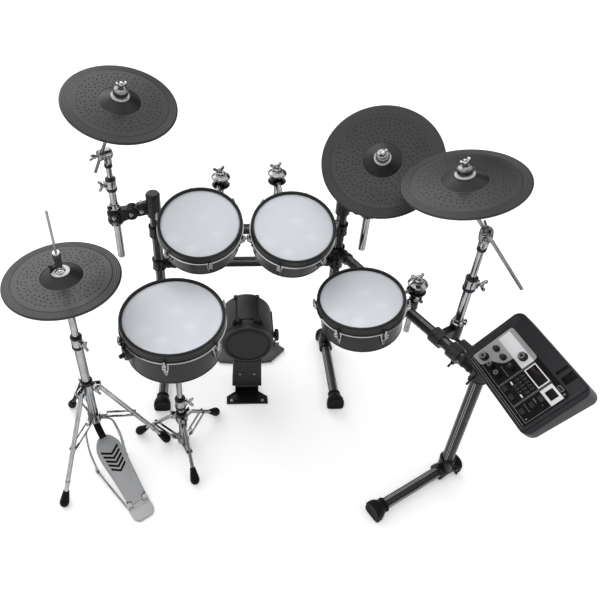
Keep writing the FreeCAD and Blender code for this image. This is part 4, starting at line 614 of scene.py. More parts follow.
class KitFinish(bpy.types.PropertyGroup):
    pad_rubber: tint("Pad rubber", "Rubber of the cymbal pads", (0.0095, 0.0096, 0.0102))
    head: tint("Head", "Mesh drum heads", (0.69, 0.72, 0.765))
    shell: tint("Shell", "Charcoal drum shells", (0.018, 0.019, 0.018))
    rack: tint("Rack", "Powder coat of the rack", (0.0035, 0.0035, 0.0033))
    chrome: tint("Chrome", "Plated tubes and hardware", (0.3, 0.306, 0.312))
    board: tint("Footboard", "Cast footboard", (0.37, 0.375, 0.385))
    kick: tint("Kick", "Charcoal body of the kick drum", (0.024, 0.024, 0.023))
    module: tint("Module", "Case of the sound module", (0.012, 0.0115, 0.0145))


class KitSizes(bpy.types.PropertyGroup):
    """Sizes of the fine pieces."""

    pit_radius: metres("Pit radius", "Radius of a pit in a cymbal pad", 0.0026, 0.0005, 0.005)
    pit_spacing: metres("Pit spacing", "Mean distance between pits", 0.0155, 0.006, 0.03)
    band_share: FloatProperty(name="Outer band", description="Where the smooth outer band of a pad starts",
                              subtype="FACTOR", default=0.83, min=0.6, max=0.95)
    felt_radius: metres("Felt radius", "Radius of the felt above a cymbal pad", 0.0168, 0.013, 0.025)
    washer_radius: metres("Washer radius", "Radius of the pale washer on a cymbal pad", 0.0262, 0.02, 0.03)
    chevrons: IntProperty(name="Chevrons", description="Grip chevrons on the footboard",
                          default=5, min=1, max=9)


class KitStage(bpy.types.PropertyGroup):
    """Light and camera."""

    key: FloatProperty(name="Key lamp", description="Power of the large lamp overhead at the left",
                       unit="POWER", default=12, min=0)
    fill: FloatProperty(name="Fill lamp", description="Power of the lamp at the right",
                        unit="POWER", default=5, min=0)
    floor_lift: strength("Floor lift", "How far the seen floor is lifted to white", 0.3)
    dim_side: strength("Dim side", "Light of the room at the lower right", 0.05)
    bright_side: strength("Bright side", "Light of the room above", 1.2, 4)
    back_patch: strength("Back patch", "Added light behind at the left", 1.5, 4)
    lens: FloatProperty(name="Lens", description="Focal length of the camera",
                        unit="CAMERA", default=36.45, min=10, max=200)


class KIT_OT_finishes(bpy.types.Operator):
    """Makes the shared effects and every finish"""

    bl_idname = "drumkit.finishes"
    bl_label = "Finishes"

    def execute(self, context):
        given = context.scene.kit_finish
        for make in (grain_effect, wear_effect, dust_effect, polish_effect, weave_effect):
            make()
        self.rubbers(given)
        self.plastics(given)
        self.panel(given)
        self.metals(given)
        # Rim colour 0.9 times the head's as painted shade; patch colour 1.12 times, capped at 0.9
        head_finish(given.head, toned(given.head, 0.9), [min(v * 1.12, 0.9) for v in given.head])
        return {"FINISHED"}

    def rubbers(self, given):
        """Pads, boots, rims and felts."""
        pad = given.pad_rubber
        moulded("pad_rubber", pad, toned(pad, 1.35), 0.3, 1400, 0.03)
        # Painted shade: near-black for the pits' floors
        moulded("pit", grey(0.004), grey(0.006), 0.4, 1400, 0.03, specular=0.4)
        moulded("bell_rubber", toned(pad, 0.8), pad, 0.38, 1400, 0.02, specular=0.36)
        moulded("rubber", grey(0.003), grey(0.006), 0.5, 900, 0.1, None, 0.01, 0.1)
        moulded("rim_rubber", (0.009, 0.0095, 0.01), (0.015, 0.0155, 0.016), 0.42, 1200, 0.06, specular=0.25)
        moulded("felt", (0.012, 0.012, 0.013), (0.022, 0.022, 0.023), 0.9, 2500, 0.6, specular=0.2)

    def plastics(self, given):
        """Powder coat, castings, shells, the kick and nylon bushes."""
        rack, shell, kick = given.rack, given.shell, given.kick
        moulded("rack_black", rack, toned(rack, 1.5), 0.26, 1600, 0.02, grey(0.05), 0, 0.16)
        # Painted shade: near-black for the floors of the rack's grooves and the pedal's hinge seam
        moulded("painted_groove_shade", grey(0.001), grey(0.002), 0.5, 1600, 0.08, specular=0.05)
        # Painted highlight: light grey for the strips along the grooves' edges
        moulded("painted_groove_highlight", (0.34, 0.34, 0.33), (0.48, 0.48, 0.46), 0.3, 1600, 0.08)
        moulded("casting", grey(0.0035), grey(0.007), 0.26, 700, 0.06, grey(0.06), 0, 0.16)
        moulded("shell", shell, toned(shell, 1.4), 0.3, 500, 0.02, specular=0.2)
        moulded("kick_flank", kick, toned(kick, 1.3), 0.5, 1000, 0.25, None, 0.02, 0.35)
        moulded("kick_band", toned(kick, 0.9), toned(kick, 1.15), 0.42, 1000, 0.15, specular=0.35)
        moulded("kick_pad", toned(kick, 1.1), toned(kick, 1.3), 0.6, 1800, 0.3, specular=0.25)
        moulded("tower", toned(kick, 0.4), toned(kick, 0.55), 0.42, 1000, 0.2, grey(0.06), 0, 0.16)
        moulded("tower_dark", grey(0.004), grey(0.007), 0.4, 1000, 0.2, specular=0.18)
        moulded("wing_grey", toned(kick, 1.7), toned(kick, 2.1), 0.5, 1000, 0.2, grey(0.1))
        moulded("nylon_black", (0.005, 0.005, 0.006), (0.008, 0.008, 0.009), 0.3, 1200, 0.1, specular=0.3)
        moulded("nylon_navy", (0.006, 0.007, 0.018), (0.009, 0.011, 0.028), 0.35, 1200, 0.1, specular=0.3)
        moulded("washer", (0.62, 0.63, 0.64), (0.72, 0.73, 0.74), 0.4, 900, 0.1)

    def panel(self, given):
        """Case, panel, displays, knobs and keys of the module."""
        case = given.module
        moulded("module_case", case, toned(case, 1.35), 0.46, 2200, 0.1, (0.08, 0.08, 0.09), 0, 0.2)
        moulded("panel_black", (0.0025, 0.0025, 0.003), (0.0045, 0.0045, 0.005), 0.25, 1500, 0.04,
                specular=0.08)
        moulded("panel_silver", (0.26, 0.26, 0.265), (0.33, 0.33, 0.335), 0.36, 1500, 0.06)
        moulded("panel_white", (0.7, 0.7, 0.73), (0.78, 0.78, 0.8), 0.4, 1500, 0.05)
        moulded("panel_line", (0.2, 0.2, 0.19), (0.28, 0.28, 0.27), 0.5, 1500, 0.05)
        moulded("screen", (0.006, 0.004, 0.005), (0.012, 0.008, 0.009), 0.12, 300, 0.02, specular=0.1)
        moulded("knob", grey(0.006), grey(0.01), 0.35, 1200, 0.15, grey(0.06), 0, 0.25)
        moulded("key_grey", (0.014, 0.0145, 0.0145), (0.022, 0.0225, 0.0225), 0.45, 1200, 0.15, specular=0.2)

    def metals(self, given):
        """Chrome, satin steel and cast silver."""
        board = given.board
        plated("chrome", given.chrome, toned(given.chrome, 1.4), 0.06, 0.1)
        plated("bright_steel", (0.6, 0.61, 0.62), (0.74, 0.75, 0.76), 0.08, 0.1)
        plated("rod_steel", (0.24, 0.24, 0.25), (0.32, 0.32, 0.33), 0.2, 0.14)
        plated("steel_dark", (0.26, 0.26, 0.27), (0.34, 0.34, 0.35), 0.24, 0.14)
        plated("knob_metal", (0.16, 0.16, 0.165), (0.24, 0.24, 0.245), 0.22, 0.15)
        moulded("board_silver", board, toned(board, 1.2), 0.42, 1100, 0.25, grey(0.5))
        moulded("heel_grey", toned(board, 1.25), toned(board, 1.4), 0.45, 1100, 0.25, grey(0.6))


class KIT_OT_stage(bpy.types.Operator):
    """Pale floor, soft lamps and the camera"""

    bl_idname = "drumkit.stage"
    bl_label = "Stage"

    def execute(self, context):
        scene = context.scene
        given = scene.kit_stage
        self.floor(scene, given)
        self.room(scene, given)
        self.lamps(scene, given)
        self.camera(scene, given)
        scene.view_settings.view_transform = "Standard"
        return {"FINISHED"}

    def floor(self, scene, given):
        bm = bmesh.new()
        bmesh.ops.create_grid(bm, x_segments=8, y_segments=8, size=14)
        mesh = bpy.data.meshes.new("studio_floor")
        bm.to_mesh(mesh)
        bm.free()
        floor = bpy.data.objects.new("studio_floor", mesh)
        floor.location.z = -0.0006
        scene.collection.objects.link(floor)
        tree, shader = started("floor_white")
        mesh.materials.append(FINISH["floor_white"])
        grain = use(tree, "Moulded grain", Scale=40, Cloud=0.7)
        pale = mixed(tree, grain.outputs["Shade"], (0.92, 0.92, 0.92, 1), (0.94, 0.94, 0.94, 1))
        tree.links.new(pale, shader.inputs["Base Color"])
        shader.inputs["Roughness"].default_value = 0.75
        shader.inputs["Specular IOR Level"].default_value = 0.1
        path = add(tree, "ShaderNodeLightPath").outputs
        seen = calc(tree, "MAXIMUM", path["Is Camera Ray"], path["Is Glossy Ray"])
        seen = calc(tree, "MAXIMUM", seen, path["Is Transmission Ray"])
        shader.inputs["Emission Color"].default_value = (1, 1, 1, 1)
        tree.links.new(calc(tree, "MULTIPLY", seen, given.floor_lift), shader.inputs["Emission Strength"])

    def room(self, scene, given):
        """Studio walls as light from all around, bright at the upper left; seen directly they are white."""
        world = bpy.data.worlds.new("studio")
        scene.world = world
        world.use_nodes = True
        tree = world.node_tree
        tree.nodes.clear()
        toward = add(tree, "ShaderNodeTexCoord").outputs["Generated"]
        height = add(tree, "ShaderNodeSeparateXYZ", {0: toward}).outputs["Z"]
        above = vector(tree, "DOT_PRODUCT", toward, (-0.449, -0.556, 0.7))["Value"]
        level = ramp(tree, above, -0.3, 0.05, given.dim_side, given.bright_side, True)
        level = calc(tree, "MULTIPLY", level, ramp(tree, height, 0.15, 0.5))
        behind = vector(tree, "DOT_PRODUCT", toward, (-0.36, 0.676, 0.643))["Value"]
        level = calc(tree, "ADD", level, ramp(tree, behind, 0.84, 0.97, 0, given.back_patch, True))
        front = vector(tree, "DOT_PRODUCT", toward, (0.3, -0.94, 0.15))["Value"]
        level = calc(tree, "MULTIPLY", level, ramp(tree, front, 0.45, 0.8, 1, 0.2))
        path = add(tree, "ShaderNodeLightPath").outputs
        mirror = calc(tree, "MAXIMUM", path["Is Glossy Ray"], path["Is Transmission Ray"])
        wall = calc(tree, "MULTIPLY", mirror, ramp(tree, height, 0.1, 0.25, 1, 0))
        wall = calc(tree, "MAXIMUM", wall, path["Is Camera Ray"])
        room = add(tree, "ShaderNodeBackground", {"Strength": calc(tree, "MAXIMUM", level, wall)})
        room.inputs["Color"].default_value = (1, 1, 1, 1)
        add(tree, "ShaderNodeOutputWorld", {"Surface": room.outputs[0]})

    def lamps(self, scene, given):
        """Large lamp overhead at the left and a weak one at the right."""
        for name, power, spot, size in (("key", given.key, (-0.7, -1.5, 3.9), 2.4),
                                        ("fill", given.fill, (2.6, -2.4, 3), 2)):
            lamp = bpy.data.lights.new(name, "AREA")
            lamp.energy = power
            lamp.size = size
            lit = bpy.data.objects.new(name, lamp)
            lit.location = spot
            lit.rotation_euler = (Vector((0, 0, 0.5)) - Vector(spot)).to_track_quat("-Z", "Y").to_euler()
            scene.collection.objects.link(lit)

    def camera(self, scene, given):
        """Camera at the photograph's view."""
        view = bpy.data.cameras.new("photo_view")
        view.lens = given.lens
        view.sensor_width = 36
        view.shift_x = 0.12493
        view.shift_y = -0.06558
        view.clip_end = 60
        camera = bpy.data.objects.new("photo_view", view)
        scene.collection.objects.link(camera)
        pitch, roll, eye = 50.81, -0.7, (-0.151, -1.3665, 1.9085)
        lean = Matrix.Rotation(math.radians(pitch), 4, "X") @ spun(roll)
        camera.matrix_world = Matrix.Translation(eye) @ lean
        scene.camera = camera


def post_feet():
    """Each post's foot on the floor and the level direction of its foot pipe."""
    return [(place(*LEFT_POST), -Y_AXIS), (place(*REAR_POST), -Y_AXIS),
            (place(*RIGHT_POST), Vector((-0.8728, -0.4882, 0)))]


def rack_bars():
    """Each bar: first post, second post and height in millimetres."""
    left, rear, right = [foot for foot, _ in post_feet()]
    return [(left, rear, UPPER_BAR), (left, rear, LOWER_BAR), (rear, right, SIDE_BAR)]


def bar_point(share):
    """Point on the side bar's axis at a share of its run."""
    rear, right, height = rack_bars()[2]
    return rear.lerp(right, share) + UP * height * MM


def holder_feet():
    """Each tom holder: clamp point on its bar, rod point on the floor and ball height in millimetres."""
    behind = Y_AXIS * ROD_SETBACK
    out = -post_feet()[2][1]
    bar = UP * UPPER_BAR * MM
    side = bar_point(0.52)
    left, right = place(-151, 368), place(42, 368)
    return [(left + bar, left + behind, 800), (right + bar, right + behind, 812),
            (side, Vector((side.x, side.y, 0)) + out * ROD_SETBACK, 592)]


def tube_axes():
    """Axis point and direction of every grooved rack tube."""
    axes = [(foot, UP) for foot, _ in post_feet()]
    for first, second, height in rack_bars():
        axes.append((first + UP * height * MM, (second - first).normalized()))
    return axes + [(foot + UP * PIPE_RISE, ahead) for foot, ahead in post_feet()]


class KIT_OT_rack(bpy.types.Operator):
    """Rack tubes, castings, wing bolts and rubber boots"""

    bl_idname = "drumkit.rack"
    bl_label = "Rack"

    def execute(self, context):
        axes = tube_axes()
        groove_floor, tube_skin = 0.015, 0.01765

        # Faces in a groove's floor take the near-black painted shade
        def in_shaded_groove(point):
            reach = min((point - start).cross(along).length for start, along in axes)
            return int(groove_floor < reach < tube_skin)

        dress("rack_tubes", "rack_black", "painted_groove_shade", rule=in_shaded_groove)
        dress("rack_joints", "casting")
        dress("tube_clamps", "casting")
        self.painted_slot_highlights()
        self.wing_bolts()
        self.boots()
        self.castings()
        self.side_arms()
        return {"FINISHED"}

    def painted_slot_highlights(self):
        """Painted highlights: light grey strips along both edges of every groove."""
        tee_top, joint_reach, skin, half_angle = 0.096, 0.06, 0.0178, 8.2
        tops = (754, 754, 540)
        runs = [(foot + UP * tee_top, foot + UP * top * MM) for (foot, _), top in zip(post_feet(), tops)]
        for first, second, height in rack_bars():
            inset = (second - first).normalized() * joint_reach
            rise = UP * height * MM
            runs.append((first + inset + rise, second - inset + rise))
        for foot, ahead in post_feet():
            pipe = foot + UP * PIPE_RISE
            runs.append((pipe + ahead * 0.034, pipe + ahead * 0.268))
        bm = bmesh.new()
        for start, end in runs:
            turn = UP.rotation_difference(end - start)
            for k in range(8):
                out = turn @ heading(45 + 90 * (k // 2) + (half_angle if k % 2 else -half_angle)) * skin
                sweep(bm, [start + out, end + out], 1.2, 8)
        piece("rack_slot_highlights", bm, "stand", "painted_groove_highlight")

    def wing_bolts(self):
        """Black wing bolts of the bar joints, the foot tees and the holder clamps."""
        bm = bmesh.new()
        for first, second, height in rack_bars():
            ahead = (second - first).cross(UP).normalized()
            for post in (first, second):
                wing(bm, post + UP * height * MM + ahead * 0.0252, ahead, UP, 12)
        for foot, ahead in post_feet():
            side = UP.cross(ahead)
            wing(bm, foot + UP * 0.0762 + side * 0.0242, side, UP, 10)
        out = -post_feet()[2][1]
        left, right, floor = [point for point, _, _ in holder_feet()]
        for point in (left, right, bar_point(0.86)):
            wing(bm, point - UP * 0.0272, -UP, out, 12)
        wing(bm, floor + out * 0.056 + UP * 0.004, out, UP, 10, 46, 22, 4)
        made = piece("rack_wings", bm, "stand", "casting")
        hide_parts("rack_wing_bolts")

    def boots(self):
        """Rubber boots at both ends of the foot pipes, flattened underneath where they reach the floor."""
        bm = bmesh.new()
        front = [(0, 23.4, 23.4, 2), (6, 23.4, 23.4, 2), (7.4, 21.6, 21.6, 2), (12, 21.8, 22.4, 2.2),
                 (18, 24.4, 27, 3), (25, 28.6, 30, 4.5), (31, 30.8, 30, 6), (44, 31.8, 30, 6),
                 (49.4, 31.2, 29.8, 6), (51.6, 29.4, 28.6, 5), (52, 26, 26, 4), (51.2, 21, 21, 3),
                 (50.4, 12, 12, 2.2)]
        rear = [(0, 24, 24, 2), (2, 29, 29.6, 4), (6, 31.6, 30, 6), (18, 31.6, 30, 6),
                (22.4, 30, 29, 5), (24, 26, 26, 4), (23.2, 20, 20, 3), (22.6, 11, 11, 2.2)]
        for foot, ahead in post_feet():
            centre = foot + UP * PIPE_RISE
            boot(bm, centre + ahead * 0.266, ahead, front)
            boot(bm, centre - ahead * 0.034, -ahead, rear)
        made = piece("rubber_boots", bm, "stand", "rubber")
        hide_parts("foot_boots")

    def castings(self):
        """Raised rings of the foot tees, bar joints and holder clamps."""
        bm = bmesh.new()
        for foot, ahead in post_feet():
            ring_band(bm, foot + UP * 0.084, UP, RING_BORE, 25.4, 9, 1.6, 36)
            ring_band(bm, foot + UP * PIPE_RISE - ahead * 0.036, ahead, RING_BORE, 26.2, 8, 1.6, 36)
        for first, second, height in rack_bars():
            for post, other in ((first, second), (second, first)):
                toward = (other - post).normalized()
                centre = post + UP * height * MM
                for rise in (-22, 15):
                    ring_band(bm, centre + UP * rise * MM, UP, RING_BORE, 26.2, 7, 1.4, 36)
                ring_band(bm, centre + toward * 0.03, toward, RING_BORE, 22.4, 6, 1.2, 36)
        for point, _, _ in holder_feet():
            along = X_AXIS if point.z > 0.6 else (rack_bars()[2][1] - rack_bars()[2][0]).normalized()
            for offset in (-20, 14):
                ring_band(bm, point + along * offset * MM, along, RING_BORE, 28.4, 6, 1.4, 36)
        piece("casting_ribs", bm, "stand", "casting")

    def side_arms(self):
        """Cast arms from the post tops to the cymbal tubes, with their hinges, clamps and key bolts."""
        bm = bmesh.new()
        keys = bmesh.new()
        left, rear, _ = [foot for foot, _ in post_feet()]
        for post, tube in ((left, place(*LEFT_TUBE, 690)), (rear, place(*MID_TUBE, 704))):
            base = post + UP * 0.728
            along = (tube - base).normalized()
            length = (tube - base).length / MM
            across = along.cross(UP).normalized()
            front = across if across.y < 0 else -across
            top = front.cross(along).normalized()
            top = top if top.z > 0 else -top
            cast_arm(bm, base, along, front, [(16, 15, 19), (22, 17, 21), (length * 0.42, 17, 20),
                                              (length * 0.47, 13, 16), (length * 0.56, 12, 15)])
            cast_arm(bm, base, along, front, [(length * 0.58, 14, 17), (length * 0.66, 17, 21),
                                              (length * 0.86, 19, 24), (length - 15, 17, 24)])
            knuckle = base + along * length * 0.57 * MM
            for offset in (-20, -9, 3, 14):
                ring_band(bm, knuckle + front * offset * MM, front, 6, 23.4, 6, 1.4, 36)
            lathe(bm, [(13.2, -29), (23, -29), (28, -24), (29.5, -20), (29.5, -9), (26.5, -7), (26.5, 4),
                       (29, 6), (29, 17), (25, 24), (20, 29), (13.2, 29)], 40, seat(tube, UP), 1.6)
            grip = seat(tube, front, UP)
            block(bm, (-24, -13, 20), (24, 13, 34), grip, 3)
            block(bm, (-19, -11, 16), (19, 11, 25), seat(base + along * 0.036, top, along), 2.4)
            for spot, facing, side in ((base + along * 0.036 + top * 0.025, top, along),
                                       (tube + front * 0.034 + UP * 0.012, front, UP),
                                       (tube + front * 0.034 - UP * 0.012, front, UP),
                                       (knuckle + front * 0.02, front, UP),
                                       (base + along * length * 0.3 * MM + front * 0.017, front, UP)):
                square_bolt(keys, spot, facing, side)
        piece("side_arm_castings", bm, "stand", "casting")
        piece("casting_key_bolts", keys, "stand", "chrome")


def tripods():
    """Each tripod: axis on the floor, hub, lower hub, leg radius, foot reach and first leg's turn."""
    return [(place(*HIHAT), 352, 196, 7.5, 232, 247),
            (place(*SNARE_STAND), 152, 30, 6.5, 166, 166)]


def legs():
    """Each tripod leg: its root, its foot, its brace's root, the level direction across it and its radius."""
    for axis, hub, low, leg, reach, first in tripods():
        for turn in (first, first + 120, first + 240):
            out = heading(turn)
            root = axis + out * LEG_ROOT
            foot = axis + out * reach * MM + UP * 0.018
            yield root + UP * hub * MM, foot, root + UP * low * MM, heading(turn + 90), leg


def collars():
    """Each height clamp: seat, inner tube radius in millimetres and heading of its wing bolt."""
    return [(place(*LEFT_TUBE, 794), 9.5, 205), (place(*MID_TUBE, 742), 9.5, 80),
            (place(*RIGHT_TUBE, 690), 9.5, -20), (place(*HIHAT, 535), 11, -35),
            (place(*SNARE_STAND, 206), 9.5, 0)]


class KIT_OT_stands(bpy.types.Operator):
    """Chrome stands: tubes, collars, tripods and tom holders"""

    bl_idname = "drumkit.stands"
    bl_label = "Stands"

    def execute(self, context):
        for node in ("stand_lower_tubes", "tripod_hubs", "tripod_legs", "hihat_upper_tube",
                     "snare_upper_tube", "left_upper_tube", "mid_upper_tube", "right_upper_tube"):
            dress(node, "chrome")
        snare_hub, grip_reach, grip_floor = place(*SNARE_STAND, 460), 0.112, 0.46
        socket_reach, socket_half = 0.021, 0.0135

        def grip_part(point):
            return int((point - snare_hub).length > grip_reach and point.z > grip_floor)

        def socket_part(point):
            _, foot, ball = min(holder_feet(), key=lambda each: (each[1].xy - point.xy).length)
            return int((point.xy - foot.xy).length > socket_reach and abs(point.z - ball * MM) < socket_half)

        dress("tom_holders", "chrome", "nylon_black", rule=socket_part)
        dress("snare_basket", "chrome", "rubber", rule=grip_part)
        self.collar_barrels()
        self.wing_bolts()
        self.rings()
        self.tripod_detail()
        self.feet()
        return {"FINISHED"}

    def collar_barrels(self):
        """Height clamps: plated barrel with its screw boss between a dark upper and a navy lower ring."""
        dark, navy, bright = bmesh.new(), bmesh.new(), bmesh.new()
        for spot, tube, turn in collars():
            at = Matrix.Translation(spot)
            bore = tube + 0.15
            lower = [(bore, 0.2), (18.4, 0.2), (19, 2), (19, 9), (18, 10.4), (bore, 10.4)]
            barrel = [(bore, 10.5), (16.6, 10.5), (17.4, 12), (17.4, 39.4), (16.6, 41), (bore, 41)]
            upper = [(bore, 41.2), (18, 41.2), (18.4, 43), (18.4, 47.4), (15, 50.4), (bore, 50.4)]
            for part, profile in ((navy, lower), (bright, barrel), (dark, upper)):
                lathe(part, profile, 36, at, 0.8)
            block(bright, (11, -8, 14), (24, 8, 38), seat(spot, UP, heading(turn)), 2.4)
        piece("collar_nylon_black", dark, "stand", "nylon_black")
        piece("collar_nylon_navy", navy, "stand", "nylon_navy")
        made = piece("collar_chrome", bright, "stand", "chrome")
        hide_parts("tube_collars")

    def wing_bolts(self):
        """Chrome wing bolts of the height clamps, the tom sockets, the hi-hat hub and the snare's tilter."""
        bm = bmesh.new()
        for spot, _, turn in collars():
            wing(bm, spot + UP * 0.026 + heading(turn) * 0.0225, heading(turn), UP, 5, 42, 18, 3.6)
        for _, foot, ball in holder_feet():
            lean = UP + heading(160) * 0.35
            wing(bm, foot + UP * (ball + 28) * MM, lean, heading(-10), 9, 42, 18, 3.6)
        wing(bm, place(*HIHAT, 340) + heading(-18) * 0.021, heading(-18), UP, 8, 36, 17)
        made = piece("chrome_wings", bm, "stand", "chrome")
        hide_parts("chrome_wing_bolts")
        bm = bmesh.new()
        wing(bm, place(-271, -87, 430), (1, 0, 0), UP, 8, 34, 15)
        piece("snare_tilter_wing", bm, "snare", "chrome")

    def rings(self):
        """Plastic bushes, memory rings on the tubes, and flanges and stacked washers of the tom sockets."""
        dark = bmesh.new()
        bright = bmesh.new()
        for axis, hub, _, _, _, _ in tripods():
            reach = 14.4 if hub > 200 else 12.8
            ring_band(dark, axis + UP * (hub + 15) * MM, UP, reach, 20, 13, 1.6)
            ring_band(bright, axis + UP * (hub - 27) * MM, UP, reach, 17.5, 11, 1.4)
        for spot, top in ((place(*LEFT_TUBE, 722.2), 205), (place(*MID_TUBE, 736.2), 60),
                          (place(*RIGHT_TUBE, 551), -30)):
            sleeve = [(12.8, 0), (20, 0), (20, 4), (16.6, 7), (16.2, 17), (12.8, 17)]
            lathe(bright, sleeve, 32, seat(spot, UP), 1)
            block(bright, (14, -6, 3), (26, 6, 14), seat(spot, UP, heading(top)), 1.4)
            aside = heading(top + 90)
            square_bolt(dark, spot + heading(top) * 0.02 + UP * 0.0085 + aside * 0.006, aside, UP)
        for point, foot, ball in holder_feet():
            centre = seat(foot + UP * ball * MM, UP)
            grip = Vector((foot.x, foot.y, point.z + 0.0195))
            lathe(bright, [(9.6, 0), (16, 0), (16, 5), (13.4, 8), (13, 20), (9.6, 20)], 28, seat(grip, UP), 1)
            crown = foot + UP * (ball + 25.2) * MM
            flange = [(17.6, 12), (31, 12), (33, 14), (32, 18), (21, 25.4), (17.6, 25.4)]
            lathe(bright, flange, 40, centre, 1.4)
            skirt = [(17.6, -25), (21, -25), (31, -17), (31.6, -14), (30, -12.6), (25.2, -12.6)]
            lathe(dark, skirt, 40, centre, 1.4)
            lathe(bright, [(4.2, 0), (21, 0), (19, 3.4), (4.2, 3.4)], 32, seat(crown, UP), 1)
            ring_band(dark, crown + UP * 0.0035, UP, 4.2, 14, 2.6, 0.8)
            top_washer = seat(crown + UP * 0.0062, UP)
            lathe(bright, [(4.2, 0), (16.5, 0), (12, 4.6), (4.2, 4.6)], 32, top_washer, 1.2)
            ring_band(dark, foot + UP * (ball - 33) * MM, UP, 9.6, 13.4, 7, 1.2)
        piece("tube_bushes", dark, "stand", "nylon_black")
        piece("memory_rings", bright, "stand", "chrome")

    def tripod_detail(self):
        """Rivets of the legs and braces and the crimped ends of the tubes."""
        bm = bmesh.new()
        for start, end, brace, across, leg in legs():
            side = across * (leg + 3.2) * MM
            for spot in (start, start.lerp(end, 0.5), brace):
                rivet(bm, spot + side, across)
                rivet(bm, spot - side, -across)
            ring_band(bm, end.lerp(start, 0.2), end - start, leg, leg + 1.1, 5, 0.5, 24)
        piece("tripod_rivets", bm, "stand", "steel_dark")

    def feet(self):
        """Ridged rubber tips of the tripod legs, pressed flat on the floor."""
        bm = bmesh.new()
        for start, end, _, _, leg in legs():
            profile = [(0, -40), (leg + 2.6, -40), (leg + 3.4, -38.6), (leg + 3.6, -33)]
            for j in range(5):
                swell = leg + 4 + (15 - leg - 4) * (j + 1) / 5
                profile += [(swell - 0.9, -31 + 5 * j), (swell, -29.6 + 5 * j), (swell, -27.6 + 5 * j)]
            profile += eased([(15.2, -6), (16, -4), (16, 5), (12, 13.5), (5, 17.4), (0, 18)], 3)
            lathe(bm, profile, 32, seat(end, end - start))
        floored(bm)
        made = piece("rubber_tips", bm, "stand", "rubber")
        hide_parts("tripod_feet")


def pad_height(reach, radius, bell):
    """Height of a pad's bowed face at a distance from its axis, in millimetres."""
    edge, bow = 8, 5
    return edge + bow * (radius - 3 - reach) / (radius - 3 - bell)


def pitted_ring(bm, outer, inner, radius, bell, pit, spacing):
    """Face between two rings with a seeded scatter of small pits cut into it; the pits' floors take the
    second finish, a darker painted shade.
    """
    scatter = random.Random(int(radius * 10))
    points = [vertex.co.xy / MM for vertex in outer] + [vertex.co.xy / MM for vertex in inner]
    turns = len(outer)
    edges = [(first + k, first + (k + 1) % turns) for first in (0, turns) for k in range(turns)]
    depths = [0] * len(points)
    far = points[0].length - pit * 2.2
    near = points[turns].length + pit * 3
    row = near
    while row < far:
        count = int(math.tau * row / spacing)
        shift = scatter.random()
        for k in range(count):
            turn = 360 * (k + shift + scatter.uniform(-0.22, 0.22)) / count
            middle_point = heading(turn) * min(max(row + scatter.uniform(-0.2, 0.2) * spacing, near), far)
            for share, depth in ((1, 0), (0.68, 1.1)):
                start = len(points)
                for j in range(8):
                    points.append((middle_point + heading(45 * j) * pit * share).xy)
                    depths.append(depth)
                    edges.append((start + j, start + (j + 1) % 8))
            points.append(middle_point.xy)
            depths.append(1.35)
        row += spacing * 0.82
    made, _, faces, origins, _, _ = delaunay_2d_cdt(points, edges, [], 0, 1e-6)
    verts = []
    for point, origin in zip(made, origins):
        first = origin[0]
        if first < turns:
            verts.append(outer[first])
        elif first < turns * 2:
            verts.append(inner[first - turns])
        else:
            height = pad_height(point.length, radius, bell) - depths[first]
            verts.append(bm.verts.new(Vector((point.x, point.y, height)) * MM))
    limit = points[turns].length
    for face in faces:
        centre = sum((made[k] for k in face), Vector((0, 0))) / len(face)
        if centre.length < limit * math.cos(math.pi / turns) - 1e-4:
            continue
        new = bm.faces.new([verts[k] for k in face])
        # Faces of a pit's floor take the darker pit finish, a painted shade
        new.material_index = 1 if all(depths[origins[k][0]] > 0.5 for k in face) else 0


def cymbal_pad(name, radius, share, hole, body, at, sizes):
    """Rubber pad: rolled edge, outer band with fine rings, pitted face with painted shade in its pits,
    conical bell and plain underside.
    """
    bell = radius * share
    band = radius * sizes.band_share
    turns = 128
    step = pad_height(band, radius, bell)
    outside = eased([(radius - 14, 0), (radius - 1.5, 0), (radius, 2.5), (radius, 5.5), (radius - 3, 8)], 1.6)
    for k in range(1, 5):
        line = radius - 3 - (radius - 3 - band) * k / 5
        level = pad_height(line, radius, bell)
        outside += [(line + 0.9, level), (line, level - 0.4), (line - 0.9, level)]
    outside += [(band + 2.6, step), (band + 1.9, step - 0.5), (band + 1.2, step), (band, step)]
    cone = [(bell + 0.8, pad_height(bell + 0.8, radius, bell)), (bell, 12.2), (bell - 1.4, 13.2)]
    cone += eased([(bell - 1.4, 13.6), (31, 25.6), (26, BELL_TOP), (hole + 1, BELL_TOP),
                   (hole, BELL_TOP - 1), (hole, 21)], 3)[1:]
    under = eased([(hole, 21), (19, 21), (bell - 4, 6), (radius - 14, 0)], 4)[1:-1]
    bm = bmesh.new()
    circles = []
    for reach, height in [point[:2] for point in outside + cone + under]:
        circles.append([bm.verts.new(polar(Matrix(), 360 * k / turns, reach, height)) for k in range(turns)])
    gap = len(outside) - 1
    for k in range(len(circles)):
        if k != gap:
            join(bm, circles[k], circles[(k + 1) % len(circles)])
    pit, spacing = sizes.pit_radius / MM, sizes.pit_spacing / MM
    pitted_ring(bm, circles[gap], circles[gap + 1], radius, bell, pit, spacing)
    for face in bm.faces:
        middle_point = face.calc_center_median()
        if middle_point.xy.length < (bell - 1) * MM and middle_point.z > 0.0134:
            face.material_index = 2
    made = piece(name + "_rubber", bm, body, "pad_rubber", "pit", "bell_rubber", at=at, crease=42)
    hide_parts(name)


